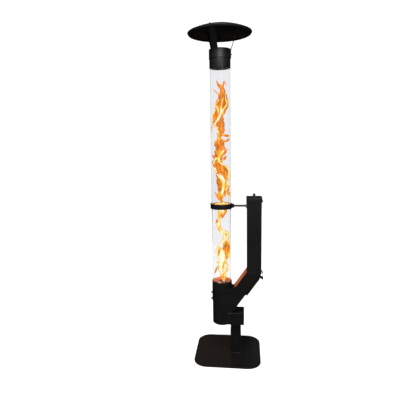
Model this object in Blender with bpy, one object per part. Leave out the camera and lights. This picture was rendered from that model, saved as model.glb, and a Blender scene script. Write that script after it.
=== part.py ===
"""Pellet patio heater: base, post, burner, two glass flame tubes, reflector and gravity feed hopper."""

from math import atan2, cos, pi, radians, sin, tan

import bmesh
import bpy
from mathutils import Matrix, Vector

# Fits
GAP = 0.0003  # between two pieces that touch
SLIP = 0.0006  # round a piece that turns or slides
FACETS = 40  # round the flame tube and its fittings
SMALL_FACETS = 12  # round screws, pins and knuckles
SHARP = radians(32)

# Base and post
BASE_WIDTH = 0.446
BASE_DEPTH = 0.420
BASE_CORNER = 0.090
BASE_EASE = 0.001
BASE_THICK = 0.008
POST_SIZE = 0.070
POST_WALL = 0.003
POST_HEIGHT = 0.2154
POST_FROM_BURNER = 0.0270  # between the burner tube's side and the middle of the post
POST_CORNER = 0.004
END_PLATE_THICK = 0.008
PLATE_SCREW_SPREAD = 0.022

# Ash box and its drawer
BOX_HEIGHT = 0.083
BOX_PAST_POST = 0.0225
BOX_WALL = 0.003
BOX_CORNER = 0.003
DRAWER_HEIGHT = 0.062
DRAWER_WALL = 0.0015
DRAWER_SIDE_ROOM = 0.004
DRAWER_FRONT_THICK = 0.0027
FINGER_HOLE = (0.040, 0.012)

# Burner
TUBE_X = -0.038
BURNER_RADIUS = 0.0655
BURNER_WALL = 0.003
BURNER_HEIGHT = 0.246
FLOOR_THICK = 0.0027
LEDGE_WIDTH = 0.012
LEDGE_THICK = 0.003
POT_ROOM = 0.0025
POT_WALL = 0.0025
POT_HEIGHT = 0.070
POT_MOUTH = 0.080
POT_SILL = 0.010
GRATE_THICK = 0.003
GRATE_HOLE = 0.0035
SOCKET_WALL = 0.0018
SOCKET_HEIGHT = 0.077
SOCKET_OVERLAP = 0.023

# Air shutter
PORT_RADIUS = 0.0055
PORT_STEP = radians(20)
PORT_DEPTH = 0.0595  # below the top of the burner tube
SHUTTER_THICK = 0.0015
SHUTTER_HEIGHT = 0.0645
SHUTTER_HALF_ANGLE = radians(40)
SHUTTER_TURN = radians(10)
THUMB_SPREAD = 0.0215
THUMB_HEAD_RADIUS = 0.0070
THUMB_HEAD_LENGTH = 0.0080
THUMB_SHANK_RADIUS = 0.0024
THUMB_SHANK_LENGTH = 0.0086

# Flame ring
FLAME_FLANGE_THICK = 0.002
FLAME_ROOM = 0.0030  # inside the lower glass
FLAME_WALL = 0.0015
FLAME_HEIGHT = 0.036
FLAME_CONE_RISE = 0.011
FLAME_NOZZLE = 0.018
FLAME_PORT_RADIUS = 0.0085
FLAME_PORTS = 6

# Glass and its fittings
GLASS_ROOM = 0.0005  # between the upper glass and the line of the burner tube
GLASS_STEP = 0.0015  # the lower glass is this much smaller in radius
GLASS_WALL = 0.0035
LOWER_GLASS_LENGTH = 0.5573
UPPER_GLASS_LENGTH = 0.9419
GASKET_THICK = 0.0028
COUPLING_WALL = 0.0067
COUPLING_GRIP = 0.0150
COLLAR_WALL = 0.0015
COLLAR_GRIP = 0.0771
COLLAR_NECK = 0.0320
FIT_WEB = 0.003
FIT_WEB_REACH = 0.0055  # inwards from the bore of the upper glass
BAND_WALL = 0.0017
BAND_HEIGHT = 0.0565
BAND_STEP = 0.0065

# Reflector and straps
DISH_RADIUS = 0.201
DISH_RISE = 0.046
DISH_THICK = 0.0015
DISH_HEM = 0.0080
DISH_LIP = 0.0025
DISH_LIP_LEAN = 0.0040
DISH_ABOVE_BAND = 0.0984
DISH_FACETS = 48
STRAP_WIDTH = 0.044
STRAP_THICK = 0.002
STRAP_BEND_RISE = 0.0510
STRAP_TOP_RADIUS = 0.115
STRAP_TAB = 0.025
STRAP_ANGLES = (radians(7), radians(127), radians(247))

# Hopper, lid and chute
HOPPER_GAP = 0.1024  # clear space between burner tube and hopper
HOPPER_WIDTH = 0.096
FEED_DEPTH = 0.112
FEED_WALL = 0.002
FEED_CORNER = 0.005
CHUTE_HEIGHT = 0.086
CHUTE_SLOPE = radians(55)
HOPPER_ABOVE_COUPLING = 0.0355
LID_ROOM = 0.0012
LID_THICK = 0.002
LID_LIP = 0.0258
SEAL_THICK = 0.0027
SEAL_WIDTH = 0.004
KNOB_RADIUS = 0.0090
KNOB_NECK = 0.0075
KNOB_HEIGHT = 0.0240
LID_KNUCKLE = 0.0030
LID_PIN = 0.0014
LID_HINGE_LENGTH = 0.040
LID_WING = 0.0074  # half the length of the wing's knuckle
LEAF_THICK = 0.0016
LEAF_HEIGHT = 0.041
WING_THICK = 0.0014

# Hatch in the underside of the chute
HATCH_TOP = 0.0340  # down the chute from its outer elbow
HATCH_LENGTH = 0.1474
HATCH_WIDTH = 0.102
HATCH_THICK = 0.0035
HATCH_FRAME_THICK = 0.0052
HATCH_SEAL_THICK = 0.0024
HATCH_FRAME_WIDTH = 0.0055
HATCH_FRAME_INSET = 0.0025
HATCH_KNUCKLE = 0.0035
HATCH_PIN = 0.0016
HATCH_PIN_OUT = 0.0075  # from the chute's underside to the middle of the pin
HATCH_PIN_BELOW = 0.0045  # from the hatch's lower edge
HATCH_WING = 0.0145  # half the length of the hatch's own knuckle
HATCH_KNUCKLE_LENGTH = 0.0130
KNUCKLE_ROOM = 0.0010
KNUCKLE_STEP = 0.0005
HANDLE_WIDTH = 0.060
HANDLE_THICK = 0.0025
HANDLE_REACH = 0.0255
HANDLE_OUT = 0.0115
HANDLE_RISE = 0.0040
HANDLE_DROP = 0.0070
HANDLE_TIP_ROOM = 0.0020

# Gusset between the top of the chute and the burner
GUSSET_REACH = 0.012
GUSSET_ABOVE_BURNER = 0.0035

# Brace between the coupling ring and the hopper
BRACE_RADIUS = 0.0065
BRACE_LUG = (0.0107, 0.020, 0.025)
BRACE_FLANGE_RADIUS = 0.018
BRACE_FLANGE_THICK = 0.004

# Screws
PLATE_SCREW = (0.0060, 0.0030, 0.0030, 0.0145)  # head radius, head height, shank radius, length
BOX_SCREW = (0.0048, 0.0023, 0.0025, 0.0100)
PAN_SCREW = (0.0050, 0.0028, 0.0025, 0.0075)

for thing in list(bpy.data.objects):
    bpy.data.objects.remove(thing)


def material(name, color, roughness, metallic, transmission=0.0):
    """A material with one Principled shader."""
    made = bpy.data.materials.new(name)
    made.use_nodes = True
    shader = made.node_tree.nodes["Principled BSDF"]
    shader.inputs["Base Color"].default_value = (*color, 1.0)
    shader.inputs["Roughness"].default_value = roughness
    shader.inputs["Metallic"].default_value = metallic
    shader.inputs["Transmission Weight"].default_value = transmission
    return made


BLACK = material("black_powder_coat", (0.012, 0.012, 0.012), 0.42, 0.0)
BASE_BLACK = material("black_gloss_coat", (0.010, 0.010, 0.011), 0.18, 0.0)
GLASS = material("borosilicate_glass", (0.92, 0.94, 0.95), 0.02, 0.0, 0.95)
STEEL = material("heat_tinted_steel", (0.42, 0.24, 0.15), 0.34, 1.0)
ZINC = material("zinc_plated_steel", (0.30, 0.30, 0.31), 0.35, 1.0)
ROPE = material("glass_fibre_rope", (0.33, 0.31, 0.28), 0.95, 0.0)
SEAL = material("silicone_seal", (0.05, 0.05, 0.05), 0.70, 0.0)
KNOB = material("phenolic_knob", (0.014, 0.014, 0.014), 0.30, 0.0)


def build(name, mesh_data, surface, at=(0, 0, 0), turn=(0, 0, 0)):
    """An object made from a bmesh given in the object's own frame."""
    bmesh.ops.recalc_face_normals(mesh_data, faces=mesh_data.faces)
    mesh = bpy.data.meshes.new(name)
    mesh_data.to_mesh(mesh)
    mesh_data.free()
    mesh.materials.append(surface)
    mesh.shade_smooth()
    mesh.set_sharp_from_angle(angle=SHARP)
    made = bpy.data.objects.new(name, mesh)
    made.location = at
    made.rotation_euler = turn
    bpy.context.scene.collection.objects.link(made)
    return made


def loft(loops, closed):
    """A skin over loops of equal length, joined end to end or capped at both ends."""
    shell = bmesh.new()
    rows = [[shell.verts.new(point) for point in loop] for loop in loops]
    pairs = list(zip(rows, rows[1:] + rows[:1])) if closed else list(zip(rows, rows[1:]))
    for low, high in pairs:
        count = len(low)
        for i in range(count):
            j = (i + 1) % count
            shell.faces.new((low[i], low[j], high[j], high[i]))
    if not closed:
        shell.faces.new(rows[0])
        shell.faces.new(rows[-1])
    return shell


def circle(radius, height, facets=FACETS):
    steps = [2 * pi * i / facets for i in range(facets)]
    return [(radius * cos(a), radius * sin(a), height) for a in steps]


def lathe(profile, closed=True, facets=FACETS):
    """A turned solid from (radius, height) pairs."""
    return loft([circle(r, z, facets) for r, z in profile], closed)


def pipe(outer, inner, low, high, facets=FACETS):
    return lathe([(inner, low), (inner, high), (outer, high), (outer, low)], True, facets)


def rod(radius, low, high, facets=20):
    return lathe([(radius, low), (radius, high)], False, facets)


def rounded(width, depth, corner, steps=3):
    """Points of a rectangle with rounded corners, centred on zero."""
    points = []
    for quarter, (sx, sy) in enumerate(((1, 1), (-1, 1), (-1, -1), (1, -1))):
        for step in range(steps + 1):
            a = pi / 2 * (quarter + step / steps)
            x = sx * (width / 2 - corner) + corner * cos(a)
            y = sy * (depth / 2 - corner) + corner * sin(a)
            points.append((x, y))
    return points


def level(outline, height):
    return [(x, y, height) for x, y in outline]


def box(x0, x1, y0, y1, z0, z1):
    outline = [(x0, y0), (x1, y0), (x1, y1), (x0, y1)]
    return loft([level(outline, z0), level(outline, z1)], False)


def prism(outline, y0, y1):
    """An outline in X and Z carried along Y."""
    return loft([[(x, y, z) for x, z in outline] for y in (y0, y1)], False)


def tube_walls(width, depth, corner, wall, low, high):
    """A rectangular tube standing on Z."""
    outer = rounded(width, depth, corner)
    inner = rounded(width - 2 * wall, depth - 2 * wall, max(corner - wall, 0.0008))
    return loft([level(inner, low), level(inner, high), level(outer, high), level(outer, low)], True)


def ribbon(path, thick):
    """The outline of a strip of even thickness along a path in X and Z."""
    left, right = [], []
    for i, point in enumerate(path):
        before = (point - path[i - 1]).normalized() if i else (path[1] - point).normalized()
        after = (path[i + 1] - point).normalized() if i + 1 < len(path) else before
        across = Vector((-(before + after).y, (before + after).x)).normalized()
        reach = thick / 2 / max(across.dot(Vector((-before.y, before.x))), 0.3)
        left.append(tuple(point + across * reach))
        right.append(tuple(point - across * reach))
    return left + right[::-1]


def tool(mesh_data, at=(0, 0, 0), turn=(0, 0, 0)):
    """A helper solid for one Boolean."""
    made = build("helper", mesh_data, BLACK, at, turn)
    made.hide_render = True
    made.display_type = "WIRE"
    return made


def combine(target, helpers, operation):
    """Joins or cuts the target with each helper, then clears the helpers away."""
    for helper in helpers:
        step = target.modifiers.new(operation.lower(), "BOOLEAN")
        step.operation = operation
        step.solver = "EXACT"
        step.object = helper
    bpy.context.view_layer.update()
    result = target.evaluated_get(bpy.context.evaluated_depsgraph_get())
    mesh = bpy.data.meshes.new_from_object(result)
    target.modifiers.clear()
    old = target.data
    target.data = mesh
    bpy.data.meshes.remove(old)
    mesh.name = target.name
    tidy = bmesh.new()
    tidy.from_mesh(mesh)
    bmesh.ops.dissolve_limit(tidy, angle_limit=radians(0.05), verts=tidy.verts, edges=tidy.edges)
    tidy.to_mesh(mesh)
    tidy.free()
    mesh.shade_smooth()
    mesh.set_sharp_from_angle(angle=SHARP)
    for helper in helpers:
        bpy.data.objects.remove(helper)


def cut(target, *helpers):
    combine(target, helpers, "DIFFERENCE")


def join(target, *helpers):
    combine(target, helpers, "UNION")


def copy(source, name, at, turn=(0, 0, 0)):
    made = bpy.data.objects.new(name, source.data)
    made.location = at
    made.rotation_euler = turn
    bpy.context.scene.collection.objects.link(made)
    return made


def sunk_screw(head, head_height, shank, length):
    """A countersunk screw pointing up, with its flat head on z = 0."""
    return lathe([(head, 0.0), (head, 0.0004), (shank, head_height), (shank, length)], False, SMALL_FACETS)


def sunk_hole(head, head_height, shank, length):
    """The hole for that screw, open below its head and a fit wider all round."""
    profile = [(head + GAP, -0.001), (head + GAP, 0.0004), (shank + GAP, head_height)]
    return lathe(profile + [(shank + GAP, length + GAP)], False, SMALL_FACETS)


def pan_screw(head, head_height, shank, length):
    """A round headed screw pointing down, with its head standing on z = 0."""
    profile = [(shank, -length), (shank, 0.0), (head, 0.0), (head, head_height * 0.5)]
    return lathe(profile + [(head * 0.62, head_height)], False, SMALL_FACETS)


# Lines that several pieces share.
burner_side = TUBE_X + BURNER_RADIUS
bore = BURNER_RADIUS - BURNER_WALL
post_x = burner_side + POST_FROM_BURNER
box_end_x = post_x + POST_SIZE / 2 + BOX_PAST_POST
upper_radius = BURNER_RADIUS - GLASS_ROOM
lower_radius = upper_radius - GLASS_STEP
upper_inner = upper_radius - GLASS_WALL
lower_inner = lower_radius - GLASS_WALL


def chord(radius, half_width, inset):
    """X of a point on a circle round the flame tube at that half width, moved in by the inset."""
    return TUBE_X + (radius**2 - half_width**2) ** 0.5 - inset


# Base plate: one cut steel plate lying on the ground, drilled from below for the post screws.
base_top = BASE_THICK
outline = rounded(BASE_WIDTH, BASE_DEPTH, BASE_CORNER, 10)
eased = rounded(BASE_WIDTH - 2 * BASE_EASE, BASE_DEPTH - 2 * BASE_EASE, BASE_CORNER - BASE_EASE, 10)
base = build(
    "base_plate",
    loft([
        level(outline, 0.0),
        level(outline, base_top - BASE_EASE),
        level(eased, base_top),
    ], False),
    BASE_BLACK,
)
spread = [(sx * PLATE_SCREW_SPREAD, sy * PLATE_SCREW_SPREAD) for sx in (-1, 1) for sy in (-1, 1)]
cut(base, *[tool(sunk_hole(*PLATE_SCREW), (post_x + x, y, GAP)) for x, y in spread])
screw = None
for number, (x, y) in enumerate(spread, 1):
    name = f"base_screw_{number}"
    at = (post_x + x, y, GAP)
    screw = copy(screw, name, at) if screw else build(name, sunk_screw(*PLATE_SCREW), ZINC, at)

# Post: a square steel tube with a threaded plate welded inside each end.
post_low = base_top + GAP
post_top = post_low + POST_HEIGHT
post = build(
    "post",
    tube_walls(POST_SIZE, POST_SIZE, POST_CORNER, POST_WALL, 0.0, POST_HEIGHT),
    BLACK,
    (post_x, 0, post_low),
)
plate_size = POST_SIZE - 2 * POST_WALL - 2 * GAP
plate_outline = rounded(plate_size, plate_size, 0.003)
for name, low, hole in (
    ("post_foot", post_low, PLATE_SCREW[2]),
    ("post_head", post_top - END_PLATE_THICK, BOX_SCREW[2]),
):
    plate = build(
        name,
        loft([level(plate_outline, 0.0), level(plate_outline, END_PLATE_THICK)], False),
        BLACK,
        (post_x, 0, low),
    )
    cut(plate, *[
        tool(rod(hole + GAP, -0.001, END_PLATE_THICK + 0.001, SMALL_FACETS), (post_x + x, y, low))
        for x, y in spread
    ])

# Ash box: a short level tube on the post, coped to the burner tube, open at its far end.
box_low = post_top + GAP
box_top = box_low + BOX_HEIGHT
box_mid = (box_low + box_top) / 2
box_start = chord(BURNER_RADIUS, FEED_DEPTH / 2, 0.010)
outer = rounded(FEED_DEPTH, BOX_HEIGHT, BOX_CORNER)
inner = rounded(FEED_DEPTH - 2 * BOX_WALL, BOX_HEIGHT - 2 * BOX_WALL, 0.0008)
stations = [(inner, 0.0), (inner, box_end_x - DRAWER_FRONT_THICK - GAP - box_start)]
stations += [(outer, stations[1][1]), (outer, 0.0)]
ash_box = build(
    "ash_box",
    loft([[(x, y, z) for y, z in ring] for ring, x in stations], True),
    BLACK,
    (box_start, 0, box_mid),
)
cut(
    ash_box,
    tool(rod(BURNER_RADIUS + GAP, -0.2, 0.2, FACETS), (TUBE_X, 0, box_mid)),
    *[
        tool(sunk_hole(*BOX_SCREW), (post_x + x, y, box_low + BOX_WALL - GAP), (pi, 0, 0))
        for x, y in spread
    ],
)
screw = None
for number, (x, y) in enumerate(spread, 1):
    name = f"box_screw_{number}"
    at = (post_x + x, y, box_low + BOX_WALL - GAP)
    if screw:
        screw = copy(screw, name, at, (pi, 0, 0))
    else:
        screw = build(name, sunk_screw(*BOX_SCREW), ZINC, at, (pi, 0, 0))

# Ash drawer: a folded tray that slides out of the box; the finger hole also lets in air.
box_floor = box_low + BOX_WALL
drawer_low = box_floor + GAP
drawer_half = FEED_DEPTH / 2 - BOX_WALL - DRAWER_SIDE_ROOM
drawer_back = TUBE_X - (bore**2 - drawer_half**2) ** 0.5 + 0.003
drawer = build(
    "ash_drawer",
    box(drawer_back, box_end_x - 0.001, -drawer_half, drawer_half, 0.0, DRAWER_HEIGHT),
    STEEL,
    (0, 0, drawer_low),
)
cut(drawer, tool(box(
    drawer_back + DRAWER_WALL,
    box_end_x - DRAWER_FRONT_THICK,
    DRAWER_WALL - drawer_half,
    drawer_half - DRAWER_WALL,
    drawer_low + DRAWER_WALL,
    drawer_low + DRAWER_HEIGHT + 0.01,
)))
join(drawer, tool(box(
    box_end_x - DRAWER_FRONT_THICK,
    box_end_x,
    -FEED_DEPTH / 2,
    FEED_DEPTH / 2,
    box_low,
    box_top,
)))
finger = rounded(*FINGER_HOLE, FINGER_HOLE[1] / 2.01)
finger_z = drawer_low + DRAWER_HEIGHT - FINGER_HOLE[1]
cut(drawer, tool(loft([[(x, y, z) for y, z in finger] for x in (-0.01, 0.01)], False),
                 (box_end_x, 0, finger_z)))

# Burner tube: the fire chamber, with a mouth for the chute, a slot for the drawer and air ports.
burner_low = box_low
burner_top = burner_low + BURNER_HEIGHT
rise, run = sin(CHUTE_SLOPE), cos(CHUTE_SLOPE)
hopper_left = burner_side + HOPPER_GAP
hopper_right = hopper_left + HOPPER_WIDTH
inside = CHUTE_HEIGHT - FEED_WALL
chute_end = box_top + GAP
down = (burner_side - hopper_left - inside * rise) / run
elbow_z = chute_end + inside * run - down * rise


def ceiling(x):
    """Height of the inner top face of the chute above the point x."""
    return elbow_z - FEED_WALL * run + (x - hopper_left - FEED_WALL * rise) * tan(CHUTE_SLOPE)


burner = build(
    "burner_tube",
    pipe(BURNER_RADIUS, bore, 0.0, BURNER_HEIGHT),
    BLACK,
    (TUBE_X, 0, burner_low),
)
mouth_half = FEED_DEPTH / 2 - FEED_WALL
mouth_in, mouth_out = chord(bore, mouth_half, 0.004), burner_side + 0.006
mouth = [(mouth_in, chute_end), (mouth_out, chute_end)]
mouth += [(mouth_out, ceiling(mouth_out)), (mouth_in, ceiling(mouth_in))]
port_z = burner_top - PORT_DEPTH
across_tube = (0, -pi / 2, 0)
wall_reach = (bore - 0.010, BURNER_RADIUS + 0.015)
cutters = [
    tool(prism(mouth, -mouth_half, mouth_half)),
    tool(box(
        chord(bore, drawer_half, 0.010),
        mouth_out,
        -drawer_half - 0.002,
        drawer_half + 0.002,
        box_floor,
        drawer_low + DRAWER_HEIGHT + 0.002,
    )),
]
for step in (-1, 0, 1):
    turn = Matrix.Rotation(step * PORT_STEP, 4, "Z") @ Matrix.Rotation(-pi / 2, 4, "Y")
    port = rod(PORT_RADIUS, *wall_reach, 14)
    cutters.append(tool(port, (TUBE_X, 0, port_z), turn.to_euler()))
for side in (1, -1):
    hole = rod(THUMB_SHANK_RADIUS + GAP, *wall_reach, SMALL_FACETS)
    cutters.append(tool(hole, (TUBE_X, 0, port_z + side * THUMB_SPREAD), across_tube))
cut(burner, *cutters)

build(
    "burner_floor",
    rod(bore - GAP, 0.0, FLOOR_THICK, FACETS),
    BLACK,
    (TUBE_X, 0, burner_low + GAP),
)
ledge_low = drawer_low + DRAWER_HEIGHT + 0.005
build(
    "pot_ledge",
    pipe(bore - GAP, bore - LEDGE_WIDTH, 0.0, LEDGE_THICK),
    BLACK,
    (TUBE_X, 0, ledge_low),
)

# Burn pot: a cup with an open side facing the chute, standing on the ledge with a loose grate in it.
pot_low = ledge_low + LEDGE_THICK + GAP
pot_radius = bore - POT_ROOM
pot = build(
    "burn_pot",
    pipe(pot_radius, pot_radius - POT_WALL, 0.0, POT_HEIGHT),
    STEEL,
    (TUBE_X, 0, pot_low),
)
pot_mouth = chord(pot_radius - POT_WALL, POT_MOUTH / 2, 0.005)
cut(pot, tool(box(
    pot_mouth,
    burner_side,
    -POT_MOUTH / 2,
    POT_MOUTH / 2,
    pot_low + POT_SILL,
    pot_low + POT_HEIGHT + 0.01,
)))
grate = build(
    "burn_grate",
    rod(pot_radius - POT_WALL - GAP, 0.0, GRATE_THICK, FACETS),
    STEEL,
    (TUBE_X, 0, pot_low),
)
holes = [(0.0, 0.0)] + [(0.020, radians(60 * i)) for i in range(6)]
holes += [(0.038, radians(30 + 45 * i)) for i in range(8)]
cut(grate, *[
    tool(
        rod(GRATE_HOLE, -0.01, 0.01, 8),
        (TUBE_X + r * cos(a), r * sin(a), pot_low + GRATE_THICK / 2),
    )
    for r, a in holes
])

# Air shutter: a curved plate round the burner tube with the same three ports, and two slots.
shutter_inner = BURNER_RADIUS + GAP
shutter_outer = shutter_inner + SHUTTER_THICK
arc = [pi + SHUTTER_HALF_ANGLE * (2 * i / 12 - 1) for i in range(13)]
band = [(shutter_outer * cos(a), shutter_outer * sin(a)) for a in arc]
band += [(shutter_inner * cos(a), shutter_inner * sin(a)) for a in reversed(arc)]
shutter = build(
    "air_shutter",
    loft([level(band, -SHUTTER_HEIGHT / 2), level(band, SHUTTER_HEIGHT / 2)], False),
    BLACK,
    (TUBE_X, 0, port_z),
)
cutters = []
for step in (-1, 0, 1):
    turn = Matrix.Rotation(step * PORT_STEP, 4, "Z") @ Matrix.Rotation(-pi / 2, 4, "Y")
    port = rod(PORT_RADIUS, *wall_reach, 14)
    cutters.append(tool(port, (TUBE_X, 0, port_z), turn.to_euler()))
slot_half = THUMB_SHANK_RADIUS + SLIP
slot_end = BURNER_RADIUS * sin(SHUTTER_TURN) + slot_half + SLIP
for side in (1, -1):
    slot = box(-wall_reach[1], -wall_reach[0], -slot_half, slot_end, -slot_half, slot_half)
    cutters.append(tool(slot, (TUBE_X, 0, port_z + side * THUMB_SPREAD)))
cut(shutter, *cutters)

# Thumbscrews: knurled heads clamping the shutter to the burner tube.
knurl = []
for i in range(20):
    reach = THUMB_HEAD_RADIUS * (1.0 if i % 2 else 0.92)
    knurl.append((reach * cos(2 * pi * i / 20), reach * sin(2 * pi * i / 20)))
small = [(x * 0.85, y * 0.85) for x, y in knurl]
thumb = None
for name, side in (("thumbscrew_upper", 1), ("thumbscrew_lower", -1)):
    at = (TUBE_X - shutter_outer - GAP, 0, port_z + side * THUMB_SPREAD)
    if thumb:
        thumb = copy(thumb, name, at, across_tube)
        continue
    head = [level(small, 0.0), level(knurl, 0.001), level(knurl, THUMB_HEAD_LENGTH - 0.001)]
    thumb = build(
        name,
        loft(head + [level(small, THUMB_HEAD_LENGTH)], False),
        ZINC,
        at,
        across_tube,
    )
    join(thumb, tool(rod(THUMB_SHANK_RADIUS, -THUMB_SHANK_LENGTH, 0.002, SMALL_FACETS), at, across_tube))

# Glass socket: a sleeve over the top of the burner tube that holds the foot of the glass.
socket_inner = BURNER_RADIUS + GAP
socket_outer = socket_inner + SOCKET_WALL
socket_low = burner_top - SOCKET_OVERLAP
build(
    "glass_socket",
    pipe(socket_outer, socket_inner, 0.0, SOCKET_HEIGHT),
    BLACK,
    (TUBE_X, 0, socket_low),
)

# Flame ring: a pressed hat on the burner tube that narrows the flame and feeds it with air.
ring_low = burner_top + GAP
flame_radius = lower_inner - FLAME_ROOM
flange_top = FLAME_FLANGE_THICK
cone_low = flange_top + FLAME_HEIGHT
cone_top = cone_low + FLAME_CONE_RISE
flame_ring = build(
    "flame_ring",
    lathe([
        (flame_radius - FLAME_WALL, 0.0),
        (BURNER_RADIUS - GAP, 0.0),
        (BURNER_RADIUS - GAP, flange_top),
        (flame_radius, flange_top),
        (flame_radius, cone_low),
        (FLAME_NOZZLE, cone_top),
        (FLAME_NOZZLE, cone_top - FLAME_WALL),
        (flame_radius - FLAME_WALL, cone_low - FLAME_WALL),
    ]),
    STEEL,
    (TUBE_X, 0, ring_low),
)
port_ring = (flame_radius + FLAME_NOZZLE) / 2
cut(flame_ring, *[
    tool(
        rod(FLAME_PORT_RADIUS, 0.0, 0.06, SMALL_FACETS),
        (TUBE_X + port_ring * cos(a), port_ring * sin(a), ring_low + flange_top + 0.01),
    )
    for a in [2 * pi * (i + 0.5) / FLAME_PORTS for i in range(FLAME_PORTS)]
])

# Glass tubes and their fittings, stacked from the socket up.
height = ring_low + flange_top + GAP


def stack(name, mesh_data, surface, low, thick):
    """Places one piece of the stack and returns the height where the next one starts."""
    build(name, mesh_data, surface, (TUBE_X, 0, low))
    return low + thick + GAP


height = stack(
    "gasket_foot",
    pipe(lower_radius, flame_radius + SLIP, 0.0, GASKET_THICK),
    ROPE,
    height,
    GASKET_THICK,
)
height = stack(
    "lower_glass",
    pipe(lower_radius, lower_inner, 0.0, LOWER_GLASS_LENGTH),
    GLASS,
    height,
    LOWER_GLASS_LENGTH,
)
height = stack(
    "gasket_below_ring",
    pipe(lower_radius, lower_inner, 0.0, GASKET_THICK),
    ROPE,
    height,
    GASKET_THICK,
)
coupling_web = height
coupling_radius = upper_radius + GAP + COUPLING_WALL
web_inner = upper_inner - FIT_WEB_REACH
stack(
    "coupling_ring",
    lathe([
        (lower_radius + 0.0005, -COUPLING_GRIP),
        (lower_radius + 0.0005, 0.0),
        (web_inner, 0.0),
        (web_inner, FIT_WEB),
        (upper_radius + GAP, FIT_WEB),
        (upper_radius + GAP, FIT_WEB + COUPLING_GRIP),
        (coupling_radius - 0.001, FIT_WEB + COUPLING_GRIP),
        (coupling_radius, FIT_WEB + COUPLING_GRIP - 0.001),
        (coupling_radius, 0.001 - COUPLING_GRIP),
        (coupling_radius - 0.001, -COUPLING_GRIP),
    ]),
    BLACK,
    coupling_web,
    0.0,
)
height = stack(
    "gasket_above_ring",
    pipe(upper_radius - 0.0002, upper_inner, 0.0, GASKET_THICK),
    ROPE,
    coupling_web + FIT_WEB + GAP,
    GASKET_THICK,
)
height = stack(
    "upper_glass",
    pipe(upper_radius, upper_inner, 0.0, UPPER_GLASS_LENGTH),
    GLASS,
    height,
    UPPER_GLASS_LENGTH,
)
height = stack(
    "gasket_top",
    pipe(upper_radius - 0.0002, upper_inner, 0.0, GASKET_THICK),
    ROPE,
    height,
    GASKET_THICK,
)
collar_web = height
collar_inner = upper_radius + GAP
collar_outer = collar_inner + COLLAR_WALL
collar = build(
    "glass_collar",
    lathe([
        (collar_inner, -COLLAR_GRIP),
        (collar_inner, 0.0),
        (web_inner, 0.0),
        (web_inner, FIT_WEB),
        (collar_inner, FIT_WEB),
        (collar_inner, COLLAR_NECK),
        (collar_outer, COLLAR_NECK),
        (collar_outer, -COLLAR_GRIP),
    ]),
    BLACK,
    (TUBE_X, 0, collar_web),
)

# Strap band: slipped over the collar, it carries the feet of the three straps.
band_inner = collar_outer + GAP
band_outer = band_inner + BAND_WALL
band_top = collar_web + COLLAR_NECK + BAND_STEP
band_low = band_top - BAND_HEIGHT
strap_band = build(
    "strap_band",
    pipe(band_outer, band_inner, 0.0, BAND_HEIGHT),
    BLACK,
    (TUBE_X, 0, band_low),
)

# Reflector: a spun dome with a lip turned down and a little inwards.
dish_z = band_top + DISH_ABOVE_BAND


def under_dish(radius):
    """Height of the underside of the dome above its rim plane."""
    return DISH_RISE * (1 - (radius / DISH_RADIUS) ** 2)


radii = (0.030, 0.060, 0.090, 0.115, 0.140, 0.165, 0.187)
profile = [(r, under_dish(r)) for r in radii]
profile += [
    (DISH_RADIUS - DISH_LIP, 0.0),
    (DISH_RADIUS - DISH_LIP - DISH_LIP_LEAN, -DISH_HEM),
    (DISH_RADIUS - DISH_LIP_LEAN, -DISH_HEM),
    (DISH_RADIUS, DISH_THICK * 0.3),
    (DISH_RADIUS - 0.0012, DISH_THICK),
]
profile += [(r, under_dish(r) + DISH_THICK) for r in reversed(radii)]
dish = build(
    "reflector_dish", lathe(profile, False, DISH_FACETS), BLACK, (TUBE_X, 0, dish_z)
)

# Straps: three flat bars rolled to the band, bent outwards and screwed to the band and the dome.
foot_radius = band_outer + GAP + STRAP_THICK / 2
foot_low = band_low + 0.0015
tab_end = STRAP_TOP_RADIUS + STRAP_TAB
tab_room = GAP + STRAP_THICK / 2 + 0.0002


def strap_station(radius, height, slope, side):
    """One cross-section of the strap: an arc of even width, thickened along the normal."""
    half = STRAP_WIDTH / 2 / radius
    off = side * STRAP_THICK / 2
    r, z = radius + off * cos(slope), height - off * sin(slope)
    return [(r * cos(half * t / 3), r * sin(half * t / 3), z) for t in range(-3, 4)]


path = [
    Vector((foot_radius, foot_low - dish_z)),
    Vector((foot_radius, foot_low + STRAP_BEND_RISE - dish_z)),
    Vector((STRAP_TOP_RADIUS, under_dish(STRAP_TOP_RADIUS) - tab_room)),
    Vector((tab_end, under_dish(tab_end) - tab_room)),
]
legs = [atan2((b - a).x, (b - a).y) for a, b in zip(path, path[1:])]
slopes = [legs[0], (legs[0] + legs[1]) / 2, (legs[1] + legs[2]) / 2, legs[2]]
loops = []
for point, slope in zip(path, slopes):
    outer_arc = strap_station(point.x, point.y, slope, 1)
    inner_arc = strap_station(point.x, point.y, slope, -1)
    loops.append(outer_arc + inner_arc[::-1])
strap = build("reflector_strap_1", loft(loops, False), BLACK, (TUBE_X, 0, dish_z))
low_screw_z = foot_low + STRAP_BEND_RISE / 2
top_screw_r = STRAP_TOP_RADIUS + STRAP_TAB / 2
tilt = atan2(2 * DISH_RISE * top_screw_r / DISH_RADIUS**2, 1.0)
sideways = (0, pi / 2, 0)
screw_reach = (collar_inner - 0.010, foot_radius + 0.010)
cut(
    strap,
    tool(rod(PAN_SCREW[2] + GAP, *screw_reach, SMALL_FACETS), (TUBE_X, 0, low_screw_z), sideways),
    tool(
        rod(PAN_SCREW[2] + GAP, -0.008, 0.008, SMALL_FACETS),
        (TUBE_X + top_screw_r, 0, dish_z + under_dish(top_screw_r)),
        (0, tilt, 0),
    ),
)
strap.rotation_euler = (0, 0, STRAP_ANGLES[0])
for number, angle in enumerate(STRAP_ANGLES[1:], 2):
    copy(strap, f"reflector_strap_{number}", strap.location, (0, 0, angle))


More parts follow.
